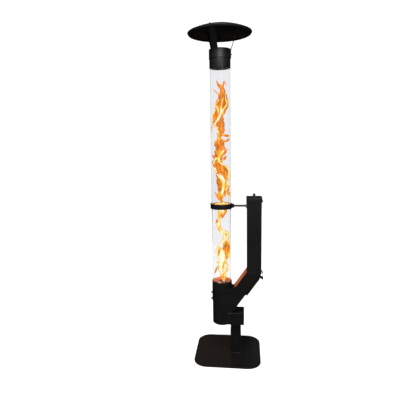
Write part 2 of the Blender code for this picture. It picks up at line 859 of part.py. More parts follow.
def round_tube(angle, radius, height, pitch):
    """Place and turn of a screw that stands out from the flame tube's axis."""
    at = (TUBE_X + radius * cos(angle), radius * sin(angle), height)
    return at, (Matrix.Rotation(angle, 4, "Z") @ Matrix.Rotation(pitch, 4, "Y")).to_euler()


for piece in (collar, strap_band):
    cut(piece, *[
        tool(rod(PAN_SCREW[2] + GAP, *screw_reach, SMALL_FACETS), *round_tube(a, 0.0, low_screw_z, pi / 2))
        for a in STRAP_ANGLES
    ])
cut(dish, *[
    tool(
        rod(PAN_SCREW[2] + GAP, -0.010, 0.010, SMALL_FACETS),
        *round_tube(a, top_screw_r, dish_z + under_dish(top_screw_r), tilt),
    )
    for a in STRAP_ANGLES
])
head_radius = foot_radius + STRAP_THICK / 2 + GAP
head_lift = DISH_THICK + 2 * GAP
screw = None
for number, angle in enumerate(STRAP_ANGLES, 1):
    spots = (
        (f"strap_screw_low_{number}", round_tube(angle, head_radius, low_screw_z, pi / 2)),
        (
            f"strap_screw_top_{number}",
            round_tube(
                angle,
                top_screw_r + head_lift * sin(tilt),
                dish_z + under_dish(top_screw_r) + head_lift * cos(tilt),
                tilt,
            ),
        ),
    )
    for name, (at, turn) in spots:
        if screw:
            copy(screw, name, at, turn)
        else:
            screw = build(name, pan_screw(*PAN_SCREW), ZINC, at, turn)

# Hopper: an upright rectangular tube, mitred at its foot to the sloping chute.
hopper_top = coupling_web + FIT_WEB + COUPLING_GRIP + HOPPER_ABOVE_COUPLING
hopper_mid = (hopper_left + hopper_right) / 2
outer_along = (HOPPER_WIDTH - CHUTE_HEIGHT * rise) / run
outer_z = elbow_z - CHUTE_HEIGHT * run + outer_along * rise
fall = (outer_z - elbow_z) / HOPPER_WIDTH


def mitre(x, side):
    return elbow_z + fall * (x - hopper_left) + side * GAP / 2


hopper = build(
    "hopper",
    tube_walls(HOPPER_WIDTH, FEED_DEPTH, FEED_CORNER, FEED_WALL, outer_z - 0.02 - hopper_top, 0.0),
    BLACK,
    (hopper_mid, 0, hopper_top),
)
ends = (hopper_left - 0.10, hopper_right + 0.10)
below = [(ends[0], mitre(ends[0], 1)), (ends[1], mitre(ends[1], 1))]
below += [(ends[1], outer_z - 0.2), (ends[0], outer_z - 0.2)]
cut(hopper, tool(prism(below, -0.2, 0.2)))

# Feed chute: the same kind of tube on a slope, its foot coped to the burner tube and the ash box.
lean = pi / 2 - CHUTE_SLOPE
elbow = (hopper_left, 0, elbow_z)
section = rounded(CHUTE_HEIGHT, FEED_DEPTH, FEED_CORNER)
hollow = rounded(CHUTE_HEIGHT - 2 * FEED_WALL, FEED_DEPTH - 2 * FEED_WALL, FEED_CORNER - FEED_WALL)
reach = (down - 0.06, outer_along + 0.02)
chute = build(
    "feed_chute",
    loft([
        [(x + CHUTE_HEIGHT / 2, y, z) for x, y in ring]
        for ring, z in zip((hollow, hollow, section, section), reach + reach[::-1])
    ], True),
    BLACK,
    elbow,
    (0, lean, 0),
)
above = [(ends[0], mitre(ends[0], -1)), (ends[1], mitre(ends[1], -1))]
above += [(ends[1], elbow_z + 0.2), (ends[0], elbow_z + 0.2)]
hatch_high = outer_along - HATCH_TOP
hatch_low = hatch_high - HATCH_LENGTH
hole_high = hatch_high - HATCH_FRAME_INSET - HATCH_FRAME_WIDTH
hole_low = hatch_low + HATCH_FRAME_INSET + HATCH_FRAME_WIDTH + 0.0010
hole_half = HATCH_WIDTH / 2 - HATCH_FRAME_WIDTH - 0.0005


def coping():
    """Cutters that fit a piece to the burner tube and to the socket round its top."""
    return [
        tool(rod(BURNER_RADIUS + GAP, -0.3, 0.4, FACETS), (TUBE_X, 0, box_top)),
        tool(rod(socket_outer + GAP, -GAP, 0.2, FACETS), (TUBE_X, 0, socket_low)),
    ]


cut(
    chute,
    tool(prism(above, -0.2, 0.2)),
    *coping(),
    tool(box(TUBE_X - 0.1, hopper_right, -0.2, 0.2, box_low - 0.1, chute_end)),
    tool(
        box(inside - 0.01, CHUTE_HEIGHT + 0.01, -hole_half, hole_half, hole_low, hole_high),
        elbow,
        (0, lean, 0),
    ),
)
# The foot of the chute stops at the tube, so what is left of it past the tube goes too.
cut(chute, tool(box(TUBE_X - 0.2, TUBE_X, -0.2, 0.2, box_low - 0.1, burner_top)))

# Gusset: a solid wedge welded between the burner tube and the top of the chute.
gusset_end = burner_side + GUSSET_REACH
gusset_top = burner_top + GUSSET_ABOVE_BURNER


def on_top(x):
    """Height of the outer top face of the chute at x, a gap above it."""
    return elbow_z + (x - hopper_left) * tan(CHUTE_SLOPE) + GAP / run


wedge = [(gusset_end, on_top(gusset_end)), (gusset_end, gusset_top)]
wedge += [(TUBE_X, gusset_top), (TUBE_X, on_top(TUBE_X))]
gusset = build("chute_gusset", prism(wedge, -FEED_DEPTH / 2, FEED_DEPTH / 2), BLACK)
cut(gusset, *coping())

# Hatch frame: a raised rim welded round the opening, with two knuckles at its lower end.
frame_low = CHUTE_HEIGHT + GAP
frame_top = frame_low + HATCH_FRAME_THICK
pin_x = CHUTE_HEIGHT + HATCH_PIN_OUT
pin_z = hatch_low - HATCH_PIN_BELOW
frame = build(
    "hatch_frame",
    box(
        frame_low,
        frame_top,
        -hole_half - HATCH_FRAME_WIDTH,
        hole_half + HATCH_FRAME_WIDTH,
        hole_low - HATCH_FRAME_WIDTH,
        hole_high + HATCH_FRAME_WIDTH,
    ),
    BLACK,
    elbow,
    (0, lean, 0),
)
along_y = (pi / 2, 0, 0)


def on_chute(x, y, z):
    """A point given in the chute's own frame, in the heater's frame."""
    return (hopper_left + x * rise + z * run, y, elbow_z - x * run + z * rise)


def across(radius, x, z, y0, y1):
    """A round bar along Y, given in the chute's own frame."""
    turned = rod(radius, -(y1 - y0) / 2, (y1 - y0) / 2, SMALL_FACETS)
    return tool(turned, on_chute(x, (y0 + y1) / 2, z), along_y)


def on_slope(mesh_data):
    return tool(mesh_data, elbow, (0, lean, 0))


knuckles = [
    (HATCH_WING + KNUCKLE_ROOM, HATCH_WING + KNUCKLE_ROOM + HATCH_KNUCKLE_LENGTH),
    (-HATCH_WING - KNUCKLE_ROOM - HATCH_KNUCKLE_LENGTH, -HATCH_WING - KNUCKLE_ROOM),
]
frame_end = hole_low - HATCH_FRAME_WIDTH
join(
    frame,
    *[across(HATCH_KNUCKLE, pin_x, pin_z, y0, y1) for y0, y1 in knuckles],
    *[
        on_slope(box(
            frame_low + 0.001,
            frame_top - 0.001,
            y0 + KNUCKLE_STEP,
            y1 - KNUCKLE_STEP,
            pin_z,
            frame_end + 0.002,
        ))
        for y0, y1 in knuckles
    ],
)
cut(
    frame,
    on_slope(box(0.0, 0.2, -hole_half, hole_half, hole_low, hole_high)),
    across(HATCH_PIN + GAP, pin_x, pin_z, -0.2, 0.2),
)
pin_at = on_chute(pin_x, 0, pin_z)
pin_half = knuckles[0][1] + KNUCKLE_STEP
build("hatch_pin", rod(HATCH_PIN, -pin_half, pin_half, SMALL_FACETS), ZINC, pin_at, along_y)

# Hatch: a steel door with a seal, hinged at its lower end, for emptying the hopper.
seal_low = frame_top + GAP
plate_low = seal_low + HATCH_SEAL_THICK + GAP
plate_top = plate_low + HATCH_THICK


def hinged(name, mesh_data, surface):
    """A piece of the hatch: shaped in the chute's frame, with its origin on the hinge pin."""
    bmesh.ops.translate(mesh_data, verts=mesh_data.verts, vec=(-pin_x, 0, -pin_z))
    return build(name, mesh_data, surface, pin_at, (0, lean, 0))


hatch = hinged(
    "chute_hatch",
    box(plate_low, plate_top, -HATCH_WIDTH / 2, HATCH_WIDTH / 2, hatch_low, hatch_high),
    BLACK,
)
join(
    hatch,
    across(HATCH_KNUCKLE, pin_x, pin_z, -HATCH_WING, HATCH_WING),
    on_slope(box(
        pin_x + 0.0012,
        plate_top - 0.0005,
        KNUCKLE_STEP - HATCH_WING,
        HATCH_WING - KNUCKLE_STEP,
        pin_z,
        hatch_low + 0.002,
    )),
)
cut(hatch, across(HATCH_PIN + GAP, pin_x, pin_z, -0.2, 0.2))
seal = hinged(
    "hatch_seal",
    box(
        seal_low,
        seal_low + HATCH_SEAL_THICK,
        -hole_half - SEAL_WIDTH,
        hole_half + SEAL_WIDTH,
        hole_low - SEAL_WIDTH,
        hole_high + SEAL_WIDTH,
    ),
    SEAL,
)
cut(seal, on_slope(box(0.0, 0.2, -hole_half, hole_half, hole_low, hole_high)))


def beside(up, out):
    """A point by the hopper's outer wall, up from its foot and out from its face, in the chute's frame."""
    return Vector((CHUTE_HEIGHT - up * run + out * rise, outer_along + up * rise + out * run))


foot_z = hatch_high + GAP + HANDLE_THICK / 2
handle_path = [
    Vector((plate_low + HATCH_THICK * 0.5, foot_z)),
    Vector((plate_top + HANDLE_REACH, foot_z + 0.001)),
    beside(-HANDLE_DROP, HANDLE_OUT),
    beside(HANDLE_RISE, HANDLE_TIP_ROOM + HANDLE_THICK / 2),
]
hinged(
    "hatch_handle",
    prism(ribbon(handle_path, HANDLE_THICK), -HANDLE_WIDTH / 2, HANDLE_WIDTH / 2),
    BLACK,
)

# Lid: a pressed cap over the hopper's mouth, hinged at the side away from the flame.
seal_z = hopper_top + GAP
lid_under = seal_z + SEAL_THICK + GAP
lid_top = lid_under + LID_THICK
lid_low = lid_top - LID_LIP - LID_THICK
lid_wide = HOPPER_WIDTH + 2 * (LID_ROOM + LID_THICK)
lid_deep = FEED_DEPTH + 2 * (LID_ROOM + LID_THICK)
lid_face = hopper_mid + lid_wide / 2
axis_x = lid_face + LID_KNUCKLE + 0.0005
axis_z = lid_low + LID_KNUCKLE
hinge_at = (axis_x, 0, axis_z)


def on_lid(outline, height):
    """A level outline round the hopper's middle, in the frame of the lid's hinge."""
    return [(x + hopper_mid - axis_x, y, height - axis_z) for x, y in outline]


cap = rounded(lid_wide, lid_deep, 0.007)
shoulder = rounded(lid_wide - 0.0012, lid_deep - 0.0012, 0.0065)
crown = rounded(lid_wide - 0.004, lid_deep - 0.004, 0.006)
hollow = rounded(lid_wide - 2 * LID_THICK, lid_deep - 2 * LID_THICK, 0.005)
lid = build(
    "hopper_lid",
    loft([
        on_lid(hollow, lid_under),
        on_lid(hollow, lid_low),
        on_lid(cap, lid_low),
        on_lid(cap, lid_top - 0.002),
        on_lid(shoulder, lid_top - 0.0006),
        on_lid(crown, lid_top),
    ], False),
    BLACK,
    hinge_at,
)
ring_outer = rounded(HOPPER_WIDTH - 0.0005, FEED_DEPTH - 0.0005, FEED_CORNER)
ring_inner = rounded(HOPPER_WIDTH - 2 * SEAL_WIDTH, FEED_DEPTH - 2 * SEAL_WIDTH, 0.003)
build(
    "lid_seal",
    loft([
        on_lid(ring_inner, seal_z),
        on_lid(ring_inner, seal_z + SEAL_THICK),
        on_lid(ring_outer, seal_z + SEAL_THICK),
        on_lid(ring_outer, seal_z),
    ], True),
    SEAL,
    hinge_at,
)
knob_profile = [
    (KNOB_NECK * 1.12, 0.0),
    (KNOB_NECK, 0.0030),
    (KNOB_NECK, KNOB_HEIGHT * 0.34),
    (KNOB_RADIUS * 0.90, KNOB_HEIGHT * 0.48),
    (KNOB_RADIUS, KNOB_HEIGHT * 0.66),
    (KNOB_RADIUS * 0.94, KNOB_HEIGHT * 0.84),
    (KNOB_RADIUS * 0.62, KNOB_HEIGHT * 0.96),
    (KNOB_RADIUS * 0.25, KNOB_HEIGHT),
]
build("lid_knob", lathe(knob_profile, False, 20), KNOB, (hopper_mid, 0, lid_top + GAP))

# Lid hinge: a leaf on the hopper with two knuckles, a wing on the lid with one, and a pin.
leaf_in = hopper_right + GAP
leaf_out = leaf_in + LEAF_THICK
half_hinge = LID_HINGE_LENGTH / 2
leaf_top = lid_low - 0.0020
leaf_low = leaf_top - LEAF_HEIGHT
leaf = build("lid_hinge_leaf", box(
    leaf_in - axis_x,
    leaf_out - axis_x,
    -half_hinge,
    half_hinge,
    leaf_low - axis_z,
    leaf_top - axis_z,
), BLACK, hinge_at)


def bar(radius, y0, y1):
    """A round bar along the lid's hinge axis."""
    turned = rod(radius, -(y1 - y0) / 2, (y1 - y0) / 2, SMALL_FACETS)
    return tool(turned, (axis_x, (y0 + y1) / 2, axis_z), along_y)


arm = [
    (leaf_in + 0.0004, leaf_top - 0.0060),
    (leaf_out + 0.0030, leaf_top - 0.0020),
    (axis_x + LID_KNUCKLE * 0.85, axis_z - LID_KNUCKLE * 0.45),
    (axis_x - LID_KNUCKLE * 0.3, axis_z - LID_KNUCKLE * 0.5),
    (axis_x - LID_KNUCKLE * 0.9, leaf_top + 0.0008),
    (leaf_in + 0.0004, leaf_top - 0.0004),
]
sides = ((-half_hinge, -LID_WING - KNUCKLE_STEP), (LID_WING + KNUCKLE_STEP, half_hinge))
join(
    leaf,
    *[bar(LID_KNUCKLE, y0, y1) for y0, y1 in sides],
    *[tool(prism(arm, y0 + 0.0002, y1 - 0.0002)) for y0, y1 in sides],
)
cut(leaf, bar(LID_PIN + GAP, -0.1, 0.1))
wing_in = lid_face + GAP
wing_out = wing_in + WING_THICK
wing = build("lid_hinge_wing", box(
    wing_in - axis_x,
    wing_out - axis_x,
    -half_hinge,
    half_hinge,
    LID_KNUCKLE + 0.001,
    lid_top - 0.003 - axis_z,
), BLACK, hinge_at)
neck_half = LID_WING - KNUCKLE_STEP
join(
    wing,
    tool(box(wing_in, wing_out, -neck_half, neck_half, axis_z, axis_z + LID_KNUCKLE + 0.002)),
    bar(LID_KNUCKLE, -LID_WING, LID_WING),
)
cut(wing, bar(LID_PIN + GAP, -0.1, 0.1))
pin_half = half_hinge + 2 * KNUCKLE_STEP
pin = rod(LID_PIN, -pin_half, pin_half, SMALL_FACETS)
build("lid_hinge_pin", pin, ZINC, hinge_at, along_y)

# Brace: a lug on the coupling ring, a round bar and a flange on the hopper.
brace_z = coupling_web + FIT_WEB / 2
lug_long, lug_wide, lug_tall = BRACE_LUG
lug_end = TUBE_X + coupling_radius + GAP + lug_long
lug = build(
    "brace_lug",
    box(-lug_long - 0.006, 0.0, -lug_wide / 2, lug_wide / 2, -lug_tall / 2, lug_tall / 2),
    BLACK,
    (lug_end, 0, brace_z),
)
cut(lug, tool(rod(coupling_radius + GAP, -0.1, 0.1, FACETS), (TUBE_X, 0, brace_z)))
flange_x = hopper_left - GAP - BRACE_FLANGE_THICK
bar_start = lug_end + GAP
build(
    "brace_rod",
    rod(BRACE_RADIUS, 0.0, flange_x - GAP - bar_start),
    BLACK,
    (bar_start, 0, brace_z),
    sideways,
)
build(
    "brace_flange",
    rod(BRACE_FLANGE_RADIUS, 0.0, BRACE_FLANGE_THICK, 24),
    BLACK,
    (flange_x, 0, brace_z),
    sideways,
)
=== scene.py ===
"""Pellet patio heater: the finish of every piece, and the fine pieces that stand for plain solids."""

import bpy
import numpy as np
from mathutils import Matrix, Vector


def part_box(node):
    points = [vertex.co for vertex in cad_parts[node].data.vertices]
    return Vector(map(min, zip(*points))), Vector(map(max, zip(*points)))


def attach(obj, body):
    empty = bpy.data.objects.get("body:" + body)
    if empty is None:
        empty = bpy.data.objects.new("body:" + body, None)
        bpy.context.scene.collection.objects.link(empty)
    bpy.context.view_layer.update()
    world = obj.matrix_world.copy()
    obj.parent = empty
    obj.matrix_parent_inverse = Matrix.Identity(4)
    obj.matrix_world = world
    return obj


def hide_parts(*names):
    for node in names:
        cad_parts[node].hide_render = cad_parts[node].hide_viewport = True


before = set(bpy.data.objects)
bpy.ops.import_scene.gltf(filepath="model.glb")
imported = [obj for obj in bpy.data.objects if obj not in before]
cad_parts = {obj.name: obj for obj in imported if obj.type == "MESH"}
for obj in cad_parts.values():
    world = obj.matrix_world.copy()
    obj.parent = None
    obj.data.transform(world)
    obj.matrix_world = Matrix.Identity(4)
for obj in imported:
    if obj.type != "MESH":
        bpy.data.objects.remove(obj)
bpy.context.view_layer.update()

# Stand: a heavy steel plate, a square post bolted up from below and a folded steel ash box on top.
# The plate is coated in a smooth gloss black; everything above it in a satin black powder coat, which
# dries to a very fine orange peel and rubs a little thinner on its edges.


class Wire:
    """A shader socket. Sums written with it add Math nodes to the material it belongs to."""

    def __init__(self, finish, socket):
        self.finish = finish
        self.socket = socket

    def math(self, operation, first, second):
        return self.finish.node("Math", {"operation": operation}, {0: first, 1: second})

    def __add__(self, other):
        return self.math("ADD", self, other)

    def __radd__(self, other):
        return self.math("ADD", other, self)

    def __sub__(self, other):
        return self.math("SUBTRACT", self, other)

    def __rsub__(self, other):
        return self.math("SUBTRACT", other, self)

    def __mul__(self, other):
        return self.math("MULTIPLY", self, other)

    def __rmul__(self, other):
        return self.math("MULTIPLY", other, self)

    def __pow__(self, other):
        return self.math("POWER", self, other)


class Finish:
    """A material being made, on one Principled shader whose plain values are set on its own sockets."""

    def __init__(self, name, **plain):
        self.material = bpy.data.materials.new(name)
        self.material.use_nodes = True
        self.tree = self.material.node_tree
        self.shader = self.tree.nodes["Principled BSDF"]
        for socket, value in plain.items():
            self.shader.inputs[socket.replace("_", " ")].default_value = value

    def node(self, kind, settings, sockets, output=0):
        """Adds a node: its settings are set first, then the values or wires of its sockets."""
        made = self.tree.nodes.new("ShaderNode" + kind)
        for name, value in settings.items():
            if name == "stops":
                ramp = made.color_ramp.elements
                for place, colour in value[1:-1]:
                    ramp.new(place).color = (*colour, 1.0)
                ramp[0].color = (*value[0][1], 1.0)
                ramp[-1].color = (*value[-1][1], 1.0)
            else:
                setattr(made, name, value)
        for key, value in sockets.items():
            self.plug(made.inputs[key], value)
        return Wire(self, made.outputs[output])

    def plug(self, socket, value):
        if isinstance(value, Wire):
            self.tree.links.new(value.socket, socket)
        else:
            socket.default_value = value

    def drive(self, **varying):
        """Links what varies over the surface to the Principled shader."""
        for socket, wire in varying.items():
            self.plug(self.shader.inputs[socket.replace("_", " ")], wire)
        return self.material

    def place(self, stretch=(1.0, 1.0, 1.0), centre=(0.0, 0.0, 0.0)):
        """Object coordinates, centred and stretched, so a pattern keeps its real size."""
        object_space = self.node("TexCoord", {}, {}, 3)
        return self.node(
            "Mapping", {}, {"Vector": object_space, "Location": centre, "Scale": stretch}
        )

    def noise(self, where, scale, detail=3.0, rough=0.5):
        sockets = {"Vector": where, "Scale": scale, "Detail": detail, "Roughness": rough}
        return self.node("TexNoise", {}, sockets)

    def blend(self, share, first, second):
        """Colour that goes from the first to the second as the share goes from 0 to 1."""
        sockets = {0: share, 6: first, 7: second}
        return self.node("Mix", {"data_type": "RGBA"}, sockets, 2)

    def soft_edges(self, radius):
        """Normal of the surface with its edges rounded to a radius."""
        return self.node("Bevel", {"samples": 6}, {"Radius": radius})

    def rubbed(self, radius, gain):
        """0 on a flat face, up to 1 where an edge is near."""
        face = self.node("NewGeometry", {}, {}, 1)
        near = self.node(
            "VectorMath", {"operation": "DOT_PRODUCT"}, {0: self.soft_edges(radius), 1: face}, 1
        )
        return self.node("Math", {"operation": "MULTIPLY", "use_clamp": True}, {0: 1.0 - near, 1: gain})

    def relief(self, height, distance, strength=1.0, normal=None):
        sockets = {"Height": height, "Distance": distance, "Strength": strength}
        if normal:
            sockets["Normal"] = normal
        return self.node("Bump", {}, sockets)


def powder_coat(name, dark, light, gloss, peel):
    """Sprayed and baked coat: dark body, orange peel of 2 mm, haze from handling, rubbed edges."""
    coat = Finish(name, Specular_IOR_Level=0.32)
    at = coat.place()
    haze = coat.noise(at, 9.0, 4.0)
    grit = coat.noise(at, 1500.0, 2.0)
    orange_peel = coat.noise(at, 420.0, 2.0, 0.4)
    edge = coat.rubbed(0.0016, 5.0) * coat.noise(at, 70.0, 4.0)
    body = coat.blend(haze * 0.7 + grit * 0.3, (*dark, 1.0), (*light, 1.0))
    worn = coat.blend(edge * 0.5, body, (0.045, 0.044, 0.043, 1.0))
    height = orange_peel + grit * 0.25
    return coat.drive(
        Base_Color=worn,
        Roughness=gloss + haze * 0.12 + grit * 0.05 - edge * 0.08,
        Normal=coat.relief(height, 0.00016, peel, coat.soft_edges(0.0009)),
    )


SATIN_BLACK = powder_coat("satin_black_coat", (0.0022, 0.0021, 0.0020), (0.0052, 0.0049, 0.0046), 0.34, 0.30)
GLOSS_BLACK = powder_coat("gloss_black_coat", (0.0026, 0.0023, 0.0022), (0.0058, 0.0051, 0.0048), 0.10, 0.14)


def finish_with(material, *names):
    """Gives CAD pieces a new material in their own slots."""
    for name in names:
        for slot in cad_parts[name].material_slots:
            slot.material = material


finish_with(GLOSS_BLACK, "base_plate")
finish_with(SATIN_BLACK, "post", "post_foot", "post_head", "ash_box")

# Screws up into the post: zinc plated steel, countersunk, with a grey passivated film that is
# cloudier in some places than others.


def plated(name, bright, dull, gloss):
    """Zinc plate: cloudy spangle over fine turning marks."""
    zinc = Finish(name, Metallic=1.0)
    at = zinc.place()
    cloud = zinc.noise(at, 240.0, 4.0)
    marks = zinc.noise(zinc.place((300.0, 300.0, 5000.0)), 1.0, 2.0)
    return zinc.drive(
        Base_Color=zinc.blend(cloud, (*dull, 1.0), (*bright, 1.0)),
        Roughness=gloss + cloud * 0.2,
        Normal=zinc.relief(marks, 0.00003, 0.5, zinc.soft_edges(0.0003)),
    )


ZINC = plated("zinc_plate", (0.30, 0.30, 0.31), (0.14, 0.14, 0.15), 0.30)
finish_with(ZINC, *[f"{row}_screw_{i}" for row in ("base", "box") for i in (1, 2, 3, 4)])

# Ash drawer, burn pot and grate: bare mild steel plate that the fire has tinted, straw and bronze
# where it stays cooler and violet grey where it gets hottest, with a film of fine ash.


def fired_steel(name, low, high, dust):
    """Oxide colours by height and noise; rolling marks as shallow relief; pale ash in patches."""
    steel = Finish(name)
    at = steel.place()
    across = 1.0 / (high - low)
    level = steel.node("SeparateXYZ", {}, {"Vector": at}, 2) * across - low * across
    drift = steel.noise(at, 26.0, 4.0)
    tint = steel.node("ValToRGB", {"stops": [
        (0.0, (0.20, 0.165, 0.135)),
        (0.3, (0.33, 0.205, 0.105)),
        (0.55, (0.36, 0.150, 0.060)),
        (0.75, (0.17, 0.085, 0.095)),
        (1.0, (0.085, 0.090, 0.120)),
    ]}, {"Fac": level * 0.6 + drift * 0.75 - 0.12})
    ash = steel.noise(at, 60.0, 6.0, 0.65) ** 2.5 * dust
    rolled = steel.noise(steel.place((40.0, 2500.0, 2500.0)), 1.0, 3.0)
    return steel.drive(
        Base_Color=steel.blend(ash, tint, (0.30, 0.28, 0.26, 1.0)),
        Metallic=1.0 - ash,
        Roughness=0.36 + drift * 0.18 + ash * 0.4,
        Normal=steel.relief(rolled + ash * 2.0, 0.00006, 0.6, steel.soft_edges(0.0006)),
    )


finish_with(fired_steel("drawer_steel", 0.20, 0.31, 0.5), "ash_drawer")
finish_with(fired_steel("pot_steel", 0.29, 0.37, 0.9), "burn_pot", "burn_grate")
finish_with(SATIN_BLACK, "burner_tube", "burner_floor", "pot_ledge", "air_shutter")

# Thumbscrews on the air shutter: turned steel with a straight knurl on the rim, black zinc plated. The
# shank goes through the shutter's slot into the burner tube.


def skin(name, grid, material, body, wrap=(False, True), seam=32.0):
    """A closed mesh over a grid of points.

    Each point is joined to the next in its row and in its column. Where wrap is True the last joins
    the first; ends that stay open are closed with a fan to the middle of that end. If the solid comes
    out with a negative volume its faces are turned over, so they always point outwards.
    """
    rows, columns = grid.shape[:2]
    index = np.arange(rows * columns).reshape(rows, columns)
    a = index if wrap[0] else index[:-1]
    b = np.roll(index, -1, axis=0) if wrap[0] else index[1:]
    quads = np.stack([a, np.roll(a, -1, axis=1), np.roll(b, -1, axis=1), b], axis=-1)
    faces = quads.reshape(-1, 4).tolist()
    points = grid.reshape(-1, 3)
    if not wrap[0]:
        middles = np.stack([grid[0].mean(axis=0), grid[-1].mean(axis=0)])
        low, high = index[0], index[-1]
        tip = len(points)
        faces += np.stack([np.roll(low, -1), low, np.full(columns, tip)], axis=-1).tolist()
        faces += np.stack([high, np.roll(high, -1), np.full(columns, tip + 1)], axis=-1).tolist()
        points = np.concatenate([points, middles])
    q = points[quads.reshape(-1, 4)]
    volume = np.einsum("ij,ij->i", q[:, 0], np.cross(q[:, 1], q[:, 2])).sum()
    volume += np.einsum("ij,ij->i", q[:, 0], np.cross(q[:, 2], q[:, 3])).sum()
    if volume < 0:
        faces = [face[::-1] for face in faces]
    mesh = bpy.data.meshes.new(name)
    mesh.from_pydata(points, [], faces)
    mesh.materials.append(material)
    mesh.shade_smooth()
    mesh.set_sharp_from_angle(angle=np.radians(seam))
    piece = bpy.data.objects.new(name, mesh)
    bpy.context.scene.collection.objects.link(piece)
    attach(piece, body)
    return piece


def eased(profile, radius, steps=4, closed=True):
    """An outline with each corner replaced by a short curve.

    The curve starts and ends one radius from the corner along both sides, and between them follows
    (1-t)^2 start + 2t(1-t) corner + t^2 end.
    """
    corner = np.array(profile, dtype=float)
    before, after = np.roll(corner, 1, axis=0), np.roll(corner, -1, axis=0)
    t = np.linspace(0.0, 1.0, steps + 1)[None, :, None]
    ends = []
    for side in (before, after):
        leg = side - corner
        length = np.linalg.norm(leg, axis=1, keepdims=True)
        ends.append(corner + leg * np.minimum(radius / length, 0.49))
    start, end, corner3 = ends[0][:, None], ends[1][:, None], corner[:, None]
    curve = (1 - t) ** 2 * start + 2 * t * (1 - t) * corner3 + t**2 * end
    if closed:
        return curve.reshape(-1, 2)
    return np.concatenate([corner[:1], curve[1:-1].reshape(-1, 2), corner[-1:]])


def turned(profile, facets, wobble=None):
    """A turned surface: each (radius, height) of the profile goes round the Z axis.

    Point (i, j) is (r cos a, r sin a, h) with a = 2 pi j / facets; wobble(profile, a) may change r.
    """
    shape = np.array(profile, dtype=float)
    angle = 2 * np.pi * np.arange(facets) / facets
    radius = shape[:, :1] * np.ones(facets)
    if wobble:
        radius = wobble(shape, angle)
    height = shape[:, 1:] * np.ones(facets)
    return np.stack([radius * np.cos(angle), radius * np.sin(angle), height], axis=-1)


def put(grid, matrix):
    """The grid with a turn and a move applied to every point."""
    m = np.array(matrix)
    return grid @ m[:3, :3].T + m[:3, 3]


TUBE_X = -0.038
TUBE_AXIS = Matrix.Translation((TUBE_X, 0.0, 0.0))


def knurl(shape, angle):
    """Radius times 1 - depth, where depth is 0.05 (0.5 + 0.5 cos(teeth a))^2 on the rim only."""
    teeth, rim_radius, rim_foot, rim_head = 30, 0.0066, 0.0008, 0.0072
    rim = (shape[:, :1] > rim_radius) & (shape[:, 1:] > rim_foot) & (shape[:, 1:] < rim_head)
    return shape[:, :1] * (1.0 - 0.05 * rim * (0.5 + 0.5 * np.cos(teeth * angle)) ** 2)


thumb_profile = [(0.0024, -0.0080), (0.0024, 0.0), (0.0058, 0.0), (0.0067, 0.0007), (0.0070, 0.0012)]
thumb_profile += [(0.0070, 0.0038), (0.0070, 0.0066), (0.0066, 0.0074), (0.0056, 0.0080)]
thumb_profile += [(0.0030, 0.0080), (0.0026, 0.0076), (0.0008, 0.0076)]
THUMB_HEAD = 0.0080
DARK_ZINC = plated("black_zinc_plate", (0.060, 0.058, 0.056), (0.022, 0.022, 0.022), 0.28)
for which in ("upper", "lower"):
    lowest, highest = (np.array(c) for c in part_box(f"thumbscrew_{which}"))
    seat_point = np.array([lowest[0] + THUMB_HEAD, 0.0, (lowest[2] + highest[2]) / 2])
    seated = Matrix.Translation(seat_point) @ Matrix.Rotation(-np.pi / 2, 4, "Y")
    thumb = skin(
        f"knurled_thumbscrew_{which}",
        put(turned(thumb_profile, 120, knurl), seated),
        DARK_ZINC,
        f"thumbscrew_{which}_body",
    )
    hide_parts(f"thumbscrew_{which}")

# Glass socket: a rolled steel sleeve round the top of the burner, its upper lip turned and eased. It
# is coated outside. The bore and the inner half of the lip stay bare and go brown in the fire, and that
# brown is also painted firelight: the orange glow of the flames and a painted copper highlight on the lip.


def fired_and_firelit_bore(name, radius):
    """Satin coat outside; nearer the tube's axis than the radius, bare steel browned by the fire, with the
    flames' orange glow and highlights painted into the brown.
    """
    ring = Finish(name, Specular_IOR_Level=0.32)
    at = ring.place()
    level = ring.node("VectorMath", {"operation": "MULTIPLY"}, {0: at, 1: (1.0, 1.0, 0.0)})
    from_axis = ring.node("VectorMath", {"operation": "DISTANCE"}, {0: level, 1: (TUBE_X, 0.0, 0.0)}, 1)
    drift = ring.noise(at, 60.0, 4.0)
    bare = ring.node(
        "Math", {"operation": "MULTIPLY", "use_clamp": True}, {0: radius - from_axis, 1: 1500.0}
    )
    grit = ring.noise(at, 900.0, 2.0)
    coat = ring.blend(drift, (0.0022, 0.0021, 0.0020, 1.0), (0.0055, 0.0052, 0.0049, 1.0))
    # painted firelight: this brown is partly real heat tint and partly the flames' orange glow and
    # highlights, painted onto the bare steel
    brown_and_firelight = ring.blend(drift, (0.30, 0.115, 0.045, 1.0), (0.56, 0.25, 0.10, 1.0))
    return ring.drive(
        Base_Color=ring.blend(bare, coat, brown_and_firelight),
        Metallic=bare * 0.8,
        Roughness=0.36 + grit * 0.1 - bare * 0.04,
        Normal=ring.relief(grit, 0.00012, 0.3),
    )


socket_low, socket_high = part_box("glass_socket")
socket_top, socket_foot = socket_high[2], socket_low[2]
socket_outer = (socket_high[0] - socket_low[0]) / 2
socket_wall = 0.0018
socket_inner = socket_outer - socket_wall
socket_profile = eased([
    (socket_inner, socket_foot),
    (socket_inner, socket_top),
    (socket_outer, socket_top),
    (socket_outer, socket_foot),
], 0.0007)
sleeve = skin(
    "socket_sleeve",
    put(turned(socket_profile, 128), TUBE_AXIS),
    fired_and_firelit_bore("socket_coat", socket_inner + 0.0008),
    "stand",
    wrap=(True, True),
)
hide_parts("glass_socket")

# Flame ring: a pressed steel hat over the burner, with a nozzle in the middle and a ring of air
# holes. It glows copper and bronze, and darkens to blue grey round the nozzle.
finish_with(fired_steel("flame_ring_steel", 0.46, 0.53, 0.15), "flame_ring")

# Rope gaskets: glass fibre cord, four strands laid round each other, pressed between the glass and its
# fittings.


